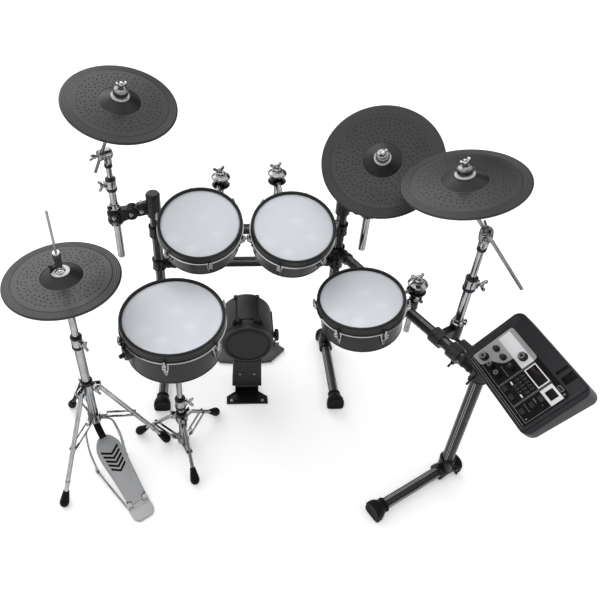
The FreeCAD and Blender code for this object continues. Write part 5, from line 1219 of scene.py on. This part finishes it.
class KIT_OT_cymbals(bpy.types.Operator):
    """Cymbal pads with their booms, tilters, washers, felts and nuts"""

    bl_idname = "drumkit.cymbals"
    bl_label = "Cymbals"

    def execute(self, context):
        sizes = context.scene.kit_sizes
        for side, radius, share, counter in (("left", 165, 0.36, 150), ("mid", 190.5, 0.31, 70),
                                             ("right", 165, 0.36, 214)):
            axis = flat_axis(side + "_pad")
            hub = Vector(JOINTS[side + "_rock"]["pos_m"])
            at = seat(hub - axis * ROCK_RISE, axis)
            cymbal_pad(side + "_pad", radius, share, 7.9, side + "_cymbal_pad", at, sizes)
            bell = at @ moved(0, 0, BELL_TOP)
            self.washer(side, side + "_cymbal_pad", bell, sizes, 9)
            self.stack(side, bell, sizes)
            self.boom(side, at.translation, axis, counter)
        low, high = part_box("hihat_pad")
        at = seat(Vector(((low.x + high.x) / 2, (low.y + high.y) / 2, low.z)), UP)
        cymbal_pad("hihat_pad", 165, 0.36, 3.65, "hihat_rod", at, sizes)
        bell = at @ moved(0, 0, BELL_TOP)
        self.washer("hihat", "hihat_rod", bell, sizes, 15.3)
        self.hihat_rod(bell)
        return {"FINISHED"}

    def washer(self, name, body, at, sizes, inner):
        """Pale washer on the bell's flat top."""
        outer = sizes.washer_radius / MM
        profile = [(inner, 0.1), (outer, 0.1), (outer, 2.6), (outer - 1.4, 3.2), (inner, 3.2)]
        turned(name + "_washer", body, "washer", profile, 48, at, 0.7)

    def stack(self, side, at, sizes):
        """Felt and cast nut above a pad, on the boom's rod."""
        felt = sizes.felt_radius / MM
        profile = [(6, 4), (felt, 5.4), (felt, 7.4), (felt - 1, 8.2), (6, 8.2)]
        turned(side + "_felt", side + "_cymbal_boom", "felt", profile, 40, at, 0.5)
        bm = bmesh.new()
        cup = [(4, 8.3), (19.4, 8.3), (20.8, 9.6), (20.8, 22), (18.6, 26), (12, 29), (4, 29)]
        lathe(bm, cup, 40, at, 1.4)
        for k in range(24):
            block(bm, (20, -1.2, 10.6), (21.5, 1.2, 21.4), at @ spun(15 * k), 0.4)
        piece(side + "_cup_nut", bm, side + "_cymbal_boom", "rod_steel")
        bm = bmesh.new()
        axis = at.to_3x3() @ UP
        wing(bm, at @ (UP * 0.026), axis, at.to_3x3() @ Vector((0.9, 0.4, 0)), 6, 32, 16, 3.6)
        lathe(bm, [(0, 30), (4.9, 30), (4.9, 46), (4, 47.2), (0, 47.2)], 20, at, 0.6)
        piece(side + "_nut", bm, side + "_cymbal_boom", "bright_steel")

    def boom(self, side, centre, axis, counter):
        """Boom rod, the tilter with its wing bolt, cap and ring, and the rod under the pad with its seat."""
        pivot = Vector(JOINTS[side + "_tilt"]["pos_m"])
        end = centre - axis * 0.06
        across = (end - pivot).cross(UP).normalized()
        clamp = pivot + across * BOOM_SIDE
        tip = end + across * BOOM_SIDE
        tip = tip - across * across.dot(tip - clamp)
        along = (tip - clamp).normalized()
        body = side + "_cymbal_boom"
        bm = bmesh.new()
        sweep(bm, [clamp - along * counter * MM, clamp - along * (counter - 1.5) * MM, tip], 5.2, 20)
        made = piece(side + "_boom_rod", bm, body, "rod_steel")
        bm = bmesh.new()
        clamp_half = [(0, 9), (18, 9), (19, 10.2), (19, 14), (16.6, 15.6), (16.6, 18), (18.4, 19.4),
                      (18.4, 26), (15, 30.4), (11.4, 31), (10.6, 28.6), (6.6, 28.6), (6, 31), (0, 32)]
        lathe(bm, clamp_half, 40, seat(pivot, across), 1)
        wing(bm, clamp + across * 0.012, across, along, 7, 44, 19)
        knuckle = (tip + across * 0.012, end - across * 0.0096)
        length = (knuckle[1] - knuckle[0]).length / MM
        lathe(bm, [(0, 0), (11.6, 0), (13.2, 1.6), (13.2, length - 1.6), (11.6, length), (0, length)], 32,
              seat(knuckle[0], knuckle[1] - knuckle[0]), 0.8)
        post = [(0, -60), (7, -60), (7, -5), (9, -3), (15, 6.1), (15, 12), (14, 14.1),
                (6, 20.1), (5, 20.1), (5, 60), (0, 60)]
        lathe(bm, post, 28, seat(centre, axis), 0.8)
        piece(side + "_tilter", bm, body, "rod_steel")
        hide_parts(side + "_boom")
        bm = bmesh.new()
        ring_band(bm, pivot - UP * 0.049, UP, 9.7, 13.8, 12, 1.4)
        piece(side + "_tilter_ring", bm, side + "_cymbal_tube", "nylon_black")
        bm = bmesh.new()
        cap = [(0, 0), (17.2, 0), (18.2, 1), (18.2, 4.6), (14.4, 6.6), (13.4, 9), (9.6, 10), (9, 7.6),
               (5, 7.6), (4.6, 11), (0, 11.4)]
        lathe(bm, cap, 36, seat(pivot - across * 0.0088, -across), 0.7)
        if side == "right":
            wing(bm, pivot - across * 0.018, -across, UP, 6, 44, 19)
        piece(side + "_tilter_cap", bm, side + "_cymbal_tube", "rod_steel")

    def hihat_rod(self, at):
        """Pull rod with its clutch and wing screw."""
        profile = [(0, 156), (3.5, 156), (3.5, 1037), (2.6, 1038), (0, 1038)]
        foot = Matrix.Translation(place(*HIHAT))
        made = turned("hihat_pull_rod", "hihat_rod", "rod_steel", profile, 20, foot, 0.5)
        bm = bmesh.new()
        lathe(bm, [(3.4, -26), (11, -26), (13, -24), (13, -10), (11.6, -8.2), (3.4, -8.2)], 32, at, 1)
        lathe(bm, [(3.4, 0.2), (15, 0.2), (15, 5), (12.6, 7.6), (10, 10), (9.4, 14), (9.4, 44), (11, 50),
                   (11.4, 53), (11.4, 66), (9.6, 69), (3.4, 69)], 36, at, 1)
        rivet(bm, point_in(at, 4, -14, 10), (0.3, -0.8, 0.5), 7, 4)
        piece("hihat_clutch", bm, "hihat_rod", "bright_steel")
        bm = bmesh.new()
        wing(bm, at @ (UP * 0.016) + heading(200) * 0.008, heading(200), UP, 8, 26, 13)
        piece("hihat_clutch_wing", bm, "hihat_rod", "nylon_black")
        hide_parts("hihat_rod")


def drum_places():
    """Each drum, named like its body: head radius, depth and the turn of its first lug."""
    return [("left_tom", 125.5, 108, 43), ("right_tom", 125.5, 108, 9),
            ("floor_tom", 125.5, 108, 50), ("snare", 148.5, 128, 25)]


def drum_lug(bm, radius, turn):
    """Cast lug tapering down a shell, its claw on the hoop and the tension bolt between them."""
    spin = spun(turn)
    at = spin @ UPRIGHT
    inner = radius + SHELL_WALL
    face = spin @ moved(inner, 0, 0) @ OUTWARD
    plate = [(0, -84), (3.6, -81), (8.6, -60), (10.8, -44), (9.6, -31), (-9.6, -31), (-10.8, -44),
             (-8.6, -60), (-3.6, -81)]
    prism(bm, eased(plate, 3, True), -1, 7.6, face, 2.6)
    side = outset(inner, [(4, -60), (13, -52), (24, -38), (24, -30.5), (4, -30.5)])
    prism(bm, eased(side, 3, True), -6, 6, at, 1.2, True)
    claw = outset(radius, [(11, -28.6), (24.5, -28.6), (24.5, -24), (20, -21.5), (11, -22.8)])
    prism(bm, eased(claw, 1.2, True), -6, 6, at, 1)
    bolt = [(0, -44), (3.4, -44), (3.4, -22), (5.6, -21.4), (5.6, -19), (3.6, -18.4), (3.3, -10), (0, -9.6)]
    lathe(bm, bolt, 20, spin @ moved(radius + 19.5, 0, 0), 0.6)


class KIT_OT_drums(bpy.types.Operator):
    """Heads, rims, hoops, lugs and shells of the four drums"""

    bl_idname = "drumkit.drums"
    bl_label = "Drums"

    def execute(self, context):
        for name, radius, depth, turn in drum_places():
            axis = flat_axis(name + "_head")
            at = seat(middle(name + "_head", axis), axis)
            dress(name + "_shell", "shell")
            profile = [(0, -0.05), (radius * 0.35, -0.05), (radius * 0.7, -0.1), (radius - 7, -0.2),
                       (radius - 2.5, -0.6), (radius - 0.15, -1.4), (radius - 0.15, -2), (0, -2)]
            head = turned(name + "_mesh_head", name, "head", profile, LARGE_TURNS, at, own_frame=True)
            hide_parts(name + "_head")
            profile = outset(radius, [(0.05, -2), (0.05, 4.4), (2.4, 7), (7.4, 7), (10, 4), (10, -8.4),
                                      (9.3, -9), (10, -9.6), (10, -22.6), (1.2, -22.6), (1.2, -2)])
            rim = turned(name + "_rim", name, "rim_rubber", profile, LARGE_TURNS, at, 1.8)
            profile = outset(radius, [(1.2, -28.1), (12.5, -28.1), (14, -26.6), (14, -23.6), (10.4, -22.8),
                                      (1.2, -22.8)])
            turned(name + "_hoop", name, "chrome", profile, LARGE_TURNS, at, 0.8)
            bm = bmesh.new()
            for k in range(6):
                drum_lug(bm, radius, turn + 60 * k)
            piece(name + "_lugs", bm, name, "chrome", at=at)
            profile = outset(radius, [(0.4, 0.4 - depth), (2, 0.4 - depth), (2, 5 - depth), (0.4, 5 - depth)])
            turned(name + "_bead", name, "nylon_black", profile, LARGE_TURNS, at, 0.7, slot="rim_and_lugs")
            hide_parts(name + "_hardware")
            if name != "snare":
                self.arm(name, radius, axis, at)
        return {"FINISHED"}

    def arm(self, name, radius, axis, at):
        """Ball, arm rod and the bracket on a tom's shell."""
        ball = Vector(JOINTS[name + "_tilt"]["pos_m"])
        offset = at.translation - ball
        toward = offset - axis * offset.dot(axis)
        gap = toward.length - (radius + SHELL_WALL) * MM
        toward.normalize()
        bm = bmesh.new()
        bmesh.ops.create_uvsphere(bm, u_segments=24, v_segments=16, radius=0.015,
                                  matrix=Matrix.Translation(ball))
        sweep(bm, [ball, ball + toward * (gap + 0.002)], 6, 20)
        piece(name + "_ball_arm", bm, name, "chrome")
        bm = bmesh.new()
        foot = seat(ball + toward * (gap - 0.012), toward)
        lathe(bm, [(6.2, 0), (14, 0), (17, 4), (17, 14), (6.2, 14)], 32, foot, 2)
        piece(name + "_bracket", bm, name, "casting")


class KIT_OT_snare_control(bpy.types.Operator):
    """Control box and dial of the snare"""

    bl_idname = "drumkit.snare_control"
    bl_label = "Snare control"

    def execute(self, context):
        axis = flat_axis("snare_head")
        at = seat(middle("snare_head", axis), axis) @ spun(214)
        face = at @ moved(149.7, 0, 0) @ OUTWARD
        bm = bmesh.new()
        shield = [(-17, -74), (0, -91), (17, -74), (17, -46), (11, -38.5), (-11, -38.5), (-17, -46)]
        prism(bm, eased(shield, 4, True), -4, 18.4, face, 3.2)
        inlay = [(-13, -72), (0, -84), (13, -72), (13, -47), (-13, -47)]
        prism(bm, eased(inlay, 3, True), 18, 18.9, face, 0.5)
        piece("snare_control_box", bm, "snare", "casting", slot="rim_and_lugs")
        bm = bmesh.new()
        loop = [(-11, -38, 9), (-12, -30, 10), (-7, -24.5, 11), (7, -24.5, 11), (12, -30, 10), (11, -38, 9)]
        loop = [face @ (Vector(point) * MM) for point in eased(loop, 5)]
        sweep(bm, loop, 3.2, 14)
        piece("snare_control_loop", bm, "snare", "rubber")
        dress("snare_knob", "knob")
        return {"FINISHED"}


class KIT_OT_kick(bpy.types.Operator):
    """Kick drum, its pad and its tower"""

    bl_idname = "drumkit.kick"
    bl_label = "Kick"

    def execute(self, context):
        front = place(*KICK_FRONT)
        band_half, band_foot = 0.0356, 0.088

        def body_part(point):
            return int(abs(point.x - front.x) < band_half and point.z > front.z + band_foot)

        dress("kick_body", "kick_flank", "kick_band", rule=body_part)
        dress("kick_pad", "kick_pad")
        dress("kick_stand", "tower", "tower_dark", "wing_grey", rule=self.stand_part)
        at = seat(front, (0, 1, 0), (1, 0, 0))
        self.ribs(at)
        self.trim(at)
        self.bolts()
        return {"FINISHED"}

    def stand_part(self, point):
        """Neck in the tower's tone, darker foot and plate, and grey rear wings."""
        wing_start, neck_foot = place(*KICK_FRONT[:2]).y + 0.05, 0.08
        if point.y > wing_start:
            return 2
        return int(point.z < neck_foot)

    def ribs(self, at):
        """Fine ribs along both flanks of the drum."""
        bm = bmesh.new()
        for side in (-1, 1):
            low, high = [], []
            count = 44
            for k in range(count + 1):
                turn = -90 + side * (27 + 66 * k / count)
                reach = 95 if k % 2 else 94.2
                low.append(heading(turn) * reach)
                high.append(heading(turn) * 93.6)
            rings = []
            for height in (22, 165):
                rings.append([at @ ((point + UP * height) * MM) for point in low + high[::-1]])
            loft(bm, rings)
        piece("kick_ribs", bm, "stand", "kick_flank", crease=20)

    def trim(self, at):
        """Front bead, beaded rods with their claws, band step and rings, flank bars and knob grips."""
        bm = bmesh.new()
        bead = [(78.4, -0.4), (79.4, -1.6), (82, -1.6), (83.4, -0.2), (83.4, 1), (78.4, 1)]
        lathe(bm, bead, LARGE_TURNS, at, 0.5)
        for side in (-1, 1):
            turn = math.degrees(math.asin(37.2 / 94.2)) * side - 90
            rod = 94.3
            sweep(bm, [polar(at, turn, rod, height) for height in (22, 95, 168)], 3.2, 12)
            claw = at @ spun(turn)
            block(bm, (90, -8, 26), (104, 8, 50), claw, 2.8)
            for offset in (-9.4, 9.4):
                lathe(bm, [(0, 19), (7.6, 19), (9.6, 22), (9.6, 34), (6.4, 41), (0, 41)], 20,
                      claw @ moved(99, offset, 0), 1.8)
            for k in range(14):
                ring_band(bm, polar(at, turn, rod, 52 + 8 * k), Y_AXIS, 2, 4.4, 4, 1, 12)
        sweep(bm, [polar(at, turn - 90, 94.6, 39.2) for turn in range(-22, 23, 4)], 1.2, 10)
        piece("kick_grooves", bm, "stand", "tower_dark")
        bm = bmesh.new()
        for height in (16, 20):
            rim = 91.5 + (height - 16) * 0.6
            band = [(90, height), (rim, height), (rim, height + 1.6), (90, height + 1.6)]
            lathe(bm, band, LARGE_TURNS, at, 0.4)
        for side in (-1, 1):
            flank = place(KICK_FRONT[0] + 93 * side, KICK_FRONT[1] + 100, KICK_FRONT[2] + 6)
            bar = seat(flank, (side, 0, 0), (0, 1, 0.12))
            prism(bm, oblong(112, 22, 6), -3, 5, bar, 1.6)
            knob = seat(place(KICK_FRONT[0] + 90 * side, KICK_FRONT[1] + 50, KICK_FRONT[2]), (side, 0, 0))
            for k in range(12):
                rib = knob @ spun(30 * k)
                block(bm, (19.6, -2.6, 13.5), (22.4, 2.6, 24), rib, 0.9)
        piece("kick_fittings", bm, "stand", "tower_dark")

    def bolts(self):
        """Neck bolts, plate bolts, a lighter steel strip along the neck's foot as a painted highlight line,
        the plate's front lip and the rear wing plates.
        """
        bm = bmesh.new()
        for x in (-27, 27):
            rivet(bm, place(KICK_FRONT[0] + x, KICK_FRONT[1], 106), (0, -1, 0), 4.4, 2.2)
        for x in (-59, 58):
            lathe(bm, [(0, 0), (7, 0), (7, 2), (5, 3.4), (0, 3.4)], 24,
                  seat(place(KICK_FRONT[0] + x, 92, 5.9), UP), 0.8)
        # Painted highlight: a lighter steel strip along the neck's foot
        block(bm, (-45, -1.4, 34.4), (45, 2, 37.4), Matrix.Translation(place(*KICK_FRONT[:2])), 0.8)
        piece("kick_bolts", bm, "stand", "steel_dark")
        bm = bmesh.new()
        base = Matrix.Translation(place(*KICK_FRONT[:2]))
        block(bm, (-76, -57.5, 5), (76, -52.5, 8.6), base, 1.2)
        prism(bm, eased([(-62, -49), (62, -49), (62, -34), (42, -14), (-42, -14), (-62, -34)], 3, True),
              5.5, 7.2, base, 0.7)
        piece("kick_plate_ribs", bm, "stand", "tower_dark")
        bm = bmesh.new()
        half = [(20, 142), (104, 150), (166, 216), (138, 238), (84, 186), (20, 180)]
        for side in (-1, 1):
            outline = [(x * side, y) for x, y in half][::side]
            prism(bm, eased(outline, 4, True), 0.5, 13.4, base, 1.2)
        piece("kick_wing_plates", bm, "stand", "wing_grey")


class KIT_OT_pedal(bpy.types.Operator):
    """Hi-hat pedal: footboard with chevrons, heel plate, side arms and strap"""

    bl_idname = "drumkit.pedal"
    bl_label = "Pedal"

    def execute(self, context):
        floor = Matrix.Translation(place(*HIHAT)) @ spun(-55)
        run = HINGE[0] - TOE[0]
        slope = math.atan2(TOE[2] - HINGE[2], run)
        length = run / math.cos(slope)
        lean = Matrix(((-math.cos(slope), 0, math.sin(slope), 0), (0, -1, 0, 0),
                       (math.sin(slope), 0, math.cos(slope), 0), (0, 0, 0, 1)))
        board = floor @ moved(*HINGE) @ lean
        self.board(board, length, context.scene.kit_sizes.chevrons)
        self.base(floor)
        self.strap(floor)
        return {"FINISHED"}

    def board(self, at, length, chevrons):
        """Footboard with its softened outline, side flanges, knuckle, grip chevrons, and its hinge seam
        darkened as painted shade.
        """
        half = [(0, 19), (9.4, 19), (9.4, 31.8), (length * 0.24, 34), (length * 0.45, 38),
                (length * 0.66, 43.6), (length * 0.76, 44), (length * 0.86, 40.5), (length * 0.94, 30),
                (length * 0.985, 20), (length, 12)]
        outline = eased([(x, -y) for x, y in half] + half[::-1], 9, True, 4)
        bm = bmesh.new()
        prism(bm, outline, 0.4, 6, at, 1.4, True)
        block(bm, (12, -12.8, -4.8), (length * 0.9, 12.8, 0.8), at, 1)
        for side in (-1, 1):
            edge = [(length * 0.1, 30.6 * side), (length * 0.24, 33 * side), (length * 0.45, 37 * side),
                    (length * 0.66, 42.4 * side), (length * 0.76, 42.9 * side), (length * 0.85, 40 * side)]
            sweep(bm, [point_in(at, x, y, 5.8) for x, y in eased(edge, 20)], 1.5, 10)
            block(bm, (length - 17, 13 * side - 3.2, 5.6), (length - 3, 13 * side + 3.2, 9.2), at, 1)
        knuckle = seat(at.translation, at.to_3x3() @ Y_AXIS)
        lathe(bm, [(3.1, -19), (6.4, -19), (6.4, 19), (3.1, 19)], 28, knuckle, 0.8)
        made = piece("pedal_footboard", bm, "pedal", "board_silver")
        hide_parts("pedal_board")
        bm = bmesh.new()
        for k in range(chevrons):
            apex = length * 0.7 - 16 * k
            arm = 32 - 1.3 * k
            sweep_back = 19
            strip = [(apex, 0), (apex + sweep_back, arm), (apex + sweep_back + 8, arm - 1), (apex + 8.4, 0),
                     (apex + sweep_back + 8, 1 - arm), (apex + sweep_back, -arm)]
            prism(bm, eased(strip[::-1], 0.8, True, 2), 5.7, 6.9, at, 0.4)
        piece("pedal_chevrons", bm, "pedal", "rubber")
        bm = bmesh.new()
        # Near-black block at the hinge seam: painted shade
        seam = [(-2.8, -21), (8, -21), (8, -33.6), (15, -33.6), (15, 33.6), (8, 33.6), (8, 21), (-2.8, 21)]
        prism(bm, seam, 1, 5.3, at)
        piece("pedal_seam_shade", bm, "pedal", "painted_groove_shade")

    def base(self, at):
        """Heel plate with its stepped hinge, pin, curved side arms, rails and the bridge ring."""
        bm = bmesh.new()
        heel = [(268.9, -37.8), (308, -37.8), (324.3, -24), (324.3, 24), (308, 37.8), (268.9, 37.8)]
        prism(bm, eased(heel, 7, True, 4), 0, 13, at, 2.4)
        prism(bm, oblong(11, 34, 2, (275, 0)), 12, 15.6, at, 1)
        for side in (-1, 1):
            low, high = sorted((19.6 * side, 37.8 * side))
            block(bm, (255.6, low, 0.2), (272.4, high, 26), at, 3)
        made = piece("pedal_heel", bm, "stand", "heel_grey")
        bm = bmesh.new()
        pin = seat(point_in(at, *HINGE), at.to_3x3() @ Y_AXIS)
        pin_half = [(0, -38.6), (2.6, -38.6), (2.95, -37.8), (2.95, 37.8), (2.6, 38.6), (0, 38.6)]
        lathe(bm, pin_half, 20, pin, 0.3)
        for side in (-1, 1):
            arm = eased([(6, 15 * side, 176), (26, 50 * side, 168), (52, 60 * side, 96),
                         (74, 56 * side, 30), (80, 55 * side, 12)], 34, steps=6)
            sweep(bm, [at @ (point * MM) for point in arm], 2.6, 16, 6, at.to_3x3() @ Y_AXIS)
            rail = eased([(74, 56 * side, 9), (120, 52 * side, 7), (256, 36 * side, 6.5)], 30, steps=5)
            sweep(bm, [at @ (point * MM) for point in rail], 3.2, 14)
            block(bm, (66, 56 * side - 5, 2), (88, 56 * side + 5, 16), at, 2.4)
        bridge = [(10.5, 171.8), (19.5, 171.8), (21, 173.4), (21, 179), (19.5, 180.5), (10.5, 180.5)]
        lathe(bm, bridge, 36, at, 0.8)
        piece("pedal_frame", bm, "stand", "chrome")
        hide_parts("pedal_base")

    def strap(self, at):
        """Strap from the pull rod's foot to the toe of the footboard."""
        bm = bmesh.new()
        path = eased([(0, 0, 166), (1, 0, 152), (20, 0, 131), (44, 0, 117.4)], 10, steps=5)
        belt = oblong(24, 3.6, 1.2, steps=2)
        rings = []
        for k, point in enumerate(path):
            ahead = (path[min(k + 1, len(path) - 1)] - path[max(k - 1, 0)]).normalized()
            out = Y_AXIS.cross(ahead)
            rings.append([at @ ((point + Vector((0, y, 0)) + out * rise) * MM) for y, rise in belt])
        loft(bm, rings)
        block(bm, (-5, -13, 155), (5, 13, 167), at, 1.6)
        piece("hihat_strap", bm, "hihat_rod", "rubber")


def module_frame():
    """Matrix of the module's panel: X along its width, Z out of it, origin at its middle."""
    z_axis = Vector(JOINTS["data_dial_turn"]["axis"]).normalized()
    return seat(place(*PANEL_MIDDLE), z_axis, JOINTS["module_tilt"]["axis"])


def span_in(node, at):
    """Lowest and highest corner of a node in a frame, in millimetres."""
    back = at.inverted()
    cloud = [back @ vertex.co / MM for vertex in NODES[node].data.vertices]
    low = Vector([min(point[k] for point in cloud) for k in range(3)])
    high = Vector([max(point[k] for point in cloud) for k in range(3)])
    return low, high


def box_outline(x_low, y_low, x_high, y_high, radius=0):
    """Rectangle between two corners as an anticlockwise outline, with or without round corners."""
    if radius:
        return oblong(x_high - x_low, y_high - y_low, radius, ((x_low + x_high) / 2, (y_low + y_high) / 2))
    return [(x_low, y_low), (x_high, y_low), (x_high, y_high), (x_low, y_high)]


class KIT_OT_module(bpy.types.Operator):
    """Sound module: case, panel, displays, knobs and keys"""

    bl_idname = "drumkit.module"
    bl_label = "Module"

    def execute(self, context):
        dress("module_case", "module_case")
        dress("module_panel", "panel_black")
        dress("module_holder", "casting")
        dress("module_bracket", "casting")
        at = module_frame()
        self.print_fields(at)
        self.displays(at)
        self.small_keys(at)
        self.edges(at)
        self.jacks(at)
        for name in ("volume_knob", "data_dial", *(f"trim_knob_{k}" for k in range(1, 6))):
            self.knob(name, name not in PLAIN_KNOBS, at)
        for k in range(1, 6):
            self.key(f"key_{k}", at)
        return {"FINISHED"}

    def plates(self, name, finish, outlines, at, rise, slot="panel_plastic"):
        """Thin raised plates on the panel."""
        bm = bmesh.new()
        for outline in outlines:
            prism(bm, outline, -0.4, rise, at, 0.1)
        piece(name, bm, "module", finish, slot=slot)

    def print_fields(self, at):
        """Silver field with its scalloped edge, plain white band, and the thin ruled lines."""
        silver = [(-121, -62), (-82, -58), (-80, -44), (-75, -30), (-58, -17), (-48, -7), (-44, 8), (-45, 21),
                  (-5, 21), (-5, 60), (-7, 68), (-14, 71), (-121, 71)]
        self.plates("panel_silver_field", "panel_silver", [eased(silver, 6, True, 4)], at, 0.25)
        self.plates("panel_title_band", "panel_white", [box_outline(-115, 21, -5, 58)], at, 0.5)
        lines = [box_outline(x - 0.45, -55, x + 0.45, 58) for x in (-4, -0.8, 64.4, 67.6)]
        lines += [box_outline(-78, -56.6, 118, -55.7), box_outline(117.4, -56, 118.3, 20),
                  box_outline(-46, -19, -9, -18.1)]
        lines += [box_outline(73, -31, 100, -30.1), box_outline(76, -5, 92, -4.1),
                  box_outline(76, -2.6, 88, -1.8)]
        self.plates("panel_lines", "panel_line", lines, at, 0.3)

    def displays(self, at):
        """Framed main display and the smaller one on its white plate."""
        bm = bmesh.new()
        outer = oblong(62, 35, 1.2, (33, 39.5))
        inner = oblong(56, 29, 0.8, (33, 39.5))
        rings = [[point_in(at, *point[:2], height) for point in ring]
                 for ring, height in ((outer, -0.4), (outer, 1), (inner, 1), (inner, -0.4))]
        made = [[bm.verts.new(point) for point in ring] for ring in rings]
        for low, high in zip(made, made[1:] + made[:1]):
            join(bm, low, high)
        prism(bm, box_outline(71, 20, 119, 56, 1.2), -0.4, 0.6, at, 0.2)
        piece("display_frames", bm, "module", "panel_white")
        screens = [box_outline(5, 25, 61, 54), box_outline(81, 27, 108, 50, 1)]
        self.plates("display_screens", "screen", screens, at, 0.75)

    def small_keys(self, at):
        """Rows of selector keys with their marks and bars, the panel's studs and the framed side key."""
        keys, marks, bars = [], [], [box_outline(6, -25, 16, -21, 1), box_outline(49, -25, 59, -21, 1)]
        for y in (-23, -8, 8):
            for x in (22, 32.5, 43):
                keys.append(box_outline(x - 3.8, y - 3.6, x + 3.8, y + 3.6, 1))
                marks.append(box_outline(x - 2, y + 5.2, x + 2, y + 6.1))
        for x in (11, 54):
            for y in (-8, 8):
                keys.append(box_outline(x - 4, y - 3.6, x + 4, y + 3.6, 1))
                marks.append(box_outline(x - 1.4, y + 5.2, x + 2.6, y + 6.1))
        self.plates("selector_keys", "key_grey", keys, at, 1.4)
        self.plates("selector_marks", "panel_line", marks, at, 0.3)
        self.plates("selector_bars", "panel_white", bars, at, 1)
        bm = bmesh.new()
        for x, y, radius in ((110, -49, 2.4), (112, 62, 2.8), (104, 5, 1.6)):
            rivet(bm, point_in(at, x, y, 0), at.to_3x3() @ UP, radius, 1)
        piece("panel_studs", bm, "module", "knob_metal", slot="panel_plastic")
        self.plates("side_key_frame", "panel_line", [box_outline(86, 59, 104, 69, 3)], at, 0.5)
        self.plates("side_key", "key_grey", [box_outline(87.4, 60.4, 102.6, 67.6, 2.2)], at, 1.3)

    def edges(self, at):
        """Front lip ridges, the border round the panel and the two dark inlays behind it."""
        ridges = [box_outline(-119, -65.4, 120, -64.3), box_outline(-116, -71, 121, -70)]
        self.plates("front_ridges", "panel_line", ridges, at, 0.6)
        bm = bmesh.new()
        loop = [point_in(at, *point[:2], 0) for point in oblong(246, 143.6, 13, steps=6)]
        sweep(bm, loop + loop[:1], 0.8, 8)
        piece("panel_border", bm, "module", "tower_dark", slot="module_plastic")
        inlays = [box_outline(54, 78, 62, 113), box_outline(74, 79, 96, 113)]
        self.plates("rear_inlays", "panel_black", inlays, at, 0.35, "module_plastic")

    def jacks(self, at, count=11, margin=30):
        """Plated rings inside the row of jack holes behind."""
        low, high = span_in("module_case", at)
        bm = bmesh.new()
        back = seat(at.translation, at.to_3x3() @ Y_AXIS, at.to_3x3() @ X_AXIS)
        for k in range(count):
            x = low.x + margin + (high.x - low.x - margin * 2) * k / (count - 1)
            hole = back @ moved(x, 27, high.y)
            lathe(bm, [(2.9, -3.4), (4.4, -3.4), (4.4, -0.4), (3.4, -0.1), (2.9, -0.4)], 20, hole, 0.2)
        piece("jack_rings", bm, "module", "knob_metal")

    def knob(self, name, metal, at):
        """Ribbed knob with its pointer, and a metal cap on some."""
        low, high = span_in(name, at)
        radius = (high.x - low.x) / 2
        rise = high.z - low.z
        foot = at @ moved((low.x + high.x) / 2, (low.y + high.y) / 2, low.z)
        bm = bmesh.new()
        lathe(bm, [(0, 0), (radius, 0), (radius, 2), (radius * 0.88, 3.4), (radius * 0.8, rise - 1.4),
                   (radius * 0.72, rise - 0.2), (0, rise - 0.2)], 36, foot, 0.6)
        for k in range(18):
            rib = foot @ spun(20 * k)
            block(bm, (radius * 0.7, -0.7, 2.6), (radius * 0.9, 0.7, rise - 1.8), rib, 0.3)
        made = piece(name + "_grip", bm, name + "_cap", "knob")
        bm = bmesh.new()
        if metal:
            lathe(bm, [(0, rise - 1.2), (radius * 0.66, rise - 1.2), (radius * 0.66, rise),
                       (radius * 0.5, rise), (radius * 0.4, rise - 0.5), (0, rise - 0.5)], 32, foot, 0.2)
        block(bm, (radius * 0.34, -0.7, rise - 1), (radius * 0.7, 0.7, rise),
              foot @ Matrix.Rotation(2.2, 4, "Z"), 0.2)
        finish = "knob_metal" if metal else "panel_line"
        piece(name + "_pointer", bm, name + "_cap", finish, slot="knob_black")
        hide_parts(name)

    def key(self, name, at):
        """Rubber key with soft edges and a shallow dish."""
        low, high = span_in(name, at)
        size = high - low
        centre = at @ Matrix.Translation((low + high) / 2 * MM)
        outer = oblong(size.x, size.y, 2.2)
        bm = bmesh.new()
        top = size.z / 2
        levels = ((1, -top), (1, top - 1), (0.95, top - 0.3), (0.88, top), (0.7, top - 0.1), (0.4, top - 0.5))
        loft(bm, [[point_in(centre, point[0] * share, point[1] * share, height) for point in outer]
                  for share, height in levels])
        made = piece(name + "_top", bm, name + "_cap", "key_grey")
        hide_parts(name)


class KIT_PT_panel(bpy.types.Panel):
    bl_idname = "KIT_PT_panel"
    bl_label = "Drum kit"
    bl_space_type = "VIEW_3D"
    bl_region_type = "UI"
    bl_category = "Drum kit"

    def draw(self, context):
        for step in STEPS:
            self.layout.operator(step.bl_idname)
        for group in (context.scene.kit_finish, context.scene.kit_sizes, context.scene.kit_stage):
            for label in group.bl_rna.properties.keys():
                if label not in ("rna_type", "name"):
                    self.layout.prop(group, label)


STEPS = (KIT_OT_finishes, KIT_OT_stage, KIT_OT_rack, KIT_OT_stands, KIT_OT_cymbals, KIT_OT_drums,
         KIT_OT_snare_control, KIT_OT_kick, KIT_OT_pedal, KIT_OT_module)
GROUPS = {"kit_finish": KitFinish, "kit_sizes": KitSizes, "kit_stage": KitStage}


def register():
    for group in GROUPS.values():
        bpy.utils.register_class(group)
    for step in STEPS:
        bpy.utils.register_class(step)
    bpy.utils.register_class(KIT_PT_panel)
    for name, group in GROUPS.items():
        setattr(bpy.types.Scene, name, PointerProperty(type=group))


def unregister():
    for name in GROUPS:
        delattr(bpy.types.Scene, name)
    bpy.utils.unregister_class(KIT_PT_panel)
    for step in reversed(STEPS):
        bpy.utils.unregister_class(step)
    for group in reversed(list(GROUPS.values())):
        bpy.utils.unregister_class(group)


def main():
    register()
    bpy.ops.drumkit.finishes()
    bpy.ops.drumkit.stage()
    bpy.ops.drumkit.rack()
    bpy.ops.drumkit.stands()
    bpy.ops.drumkit.cymbals()
    bpy.ops.drumkit.drums()
    bpy.ops.drumkit.snare_control()
    bpy.ops.drumkit.kick()
    bpy.ops.drumkit.pedal()
    bpy.ops.drumkit.module()


if __name__ == "__main__":
    main()
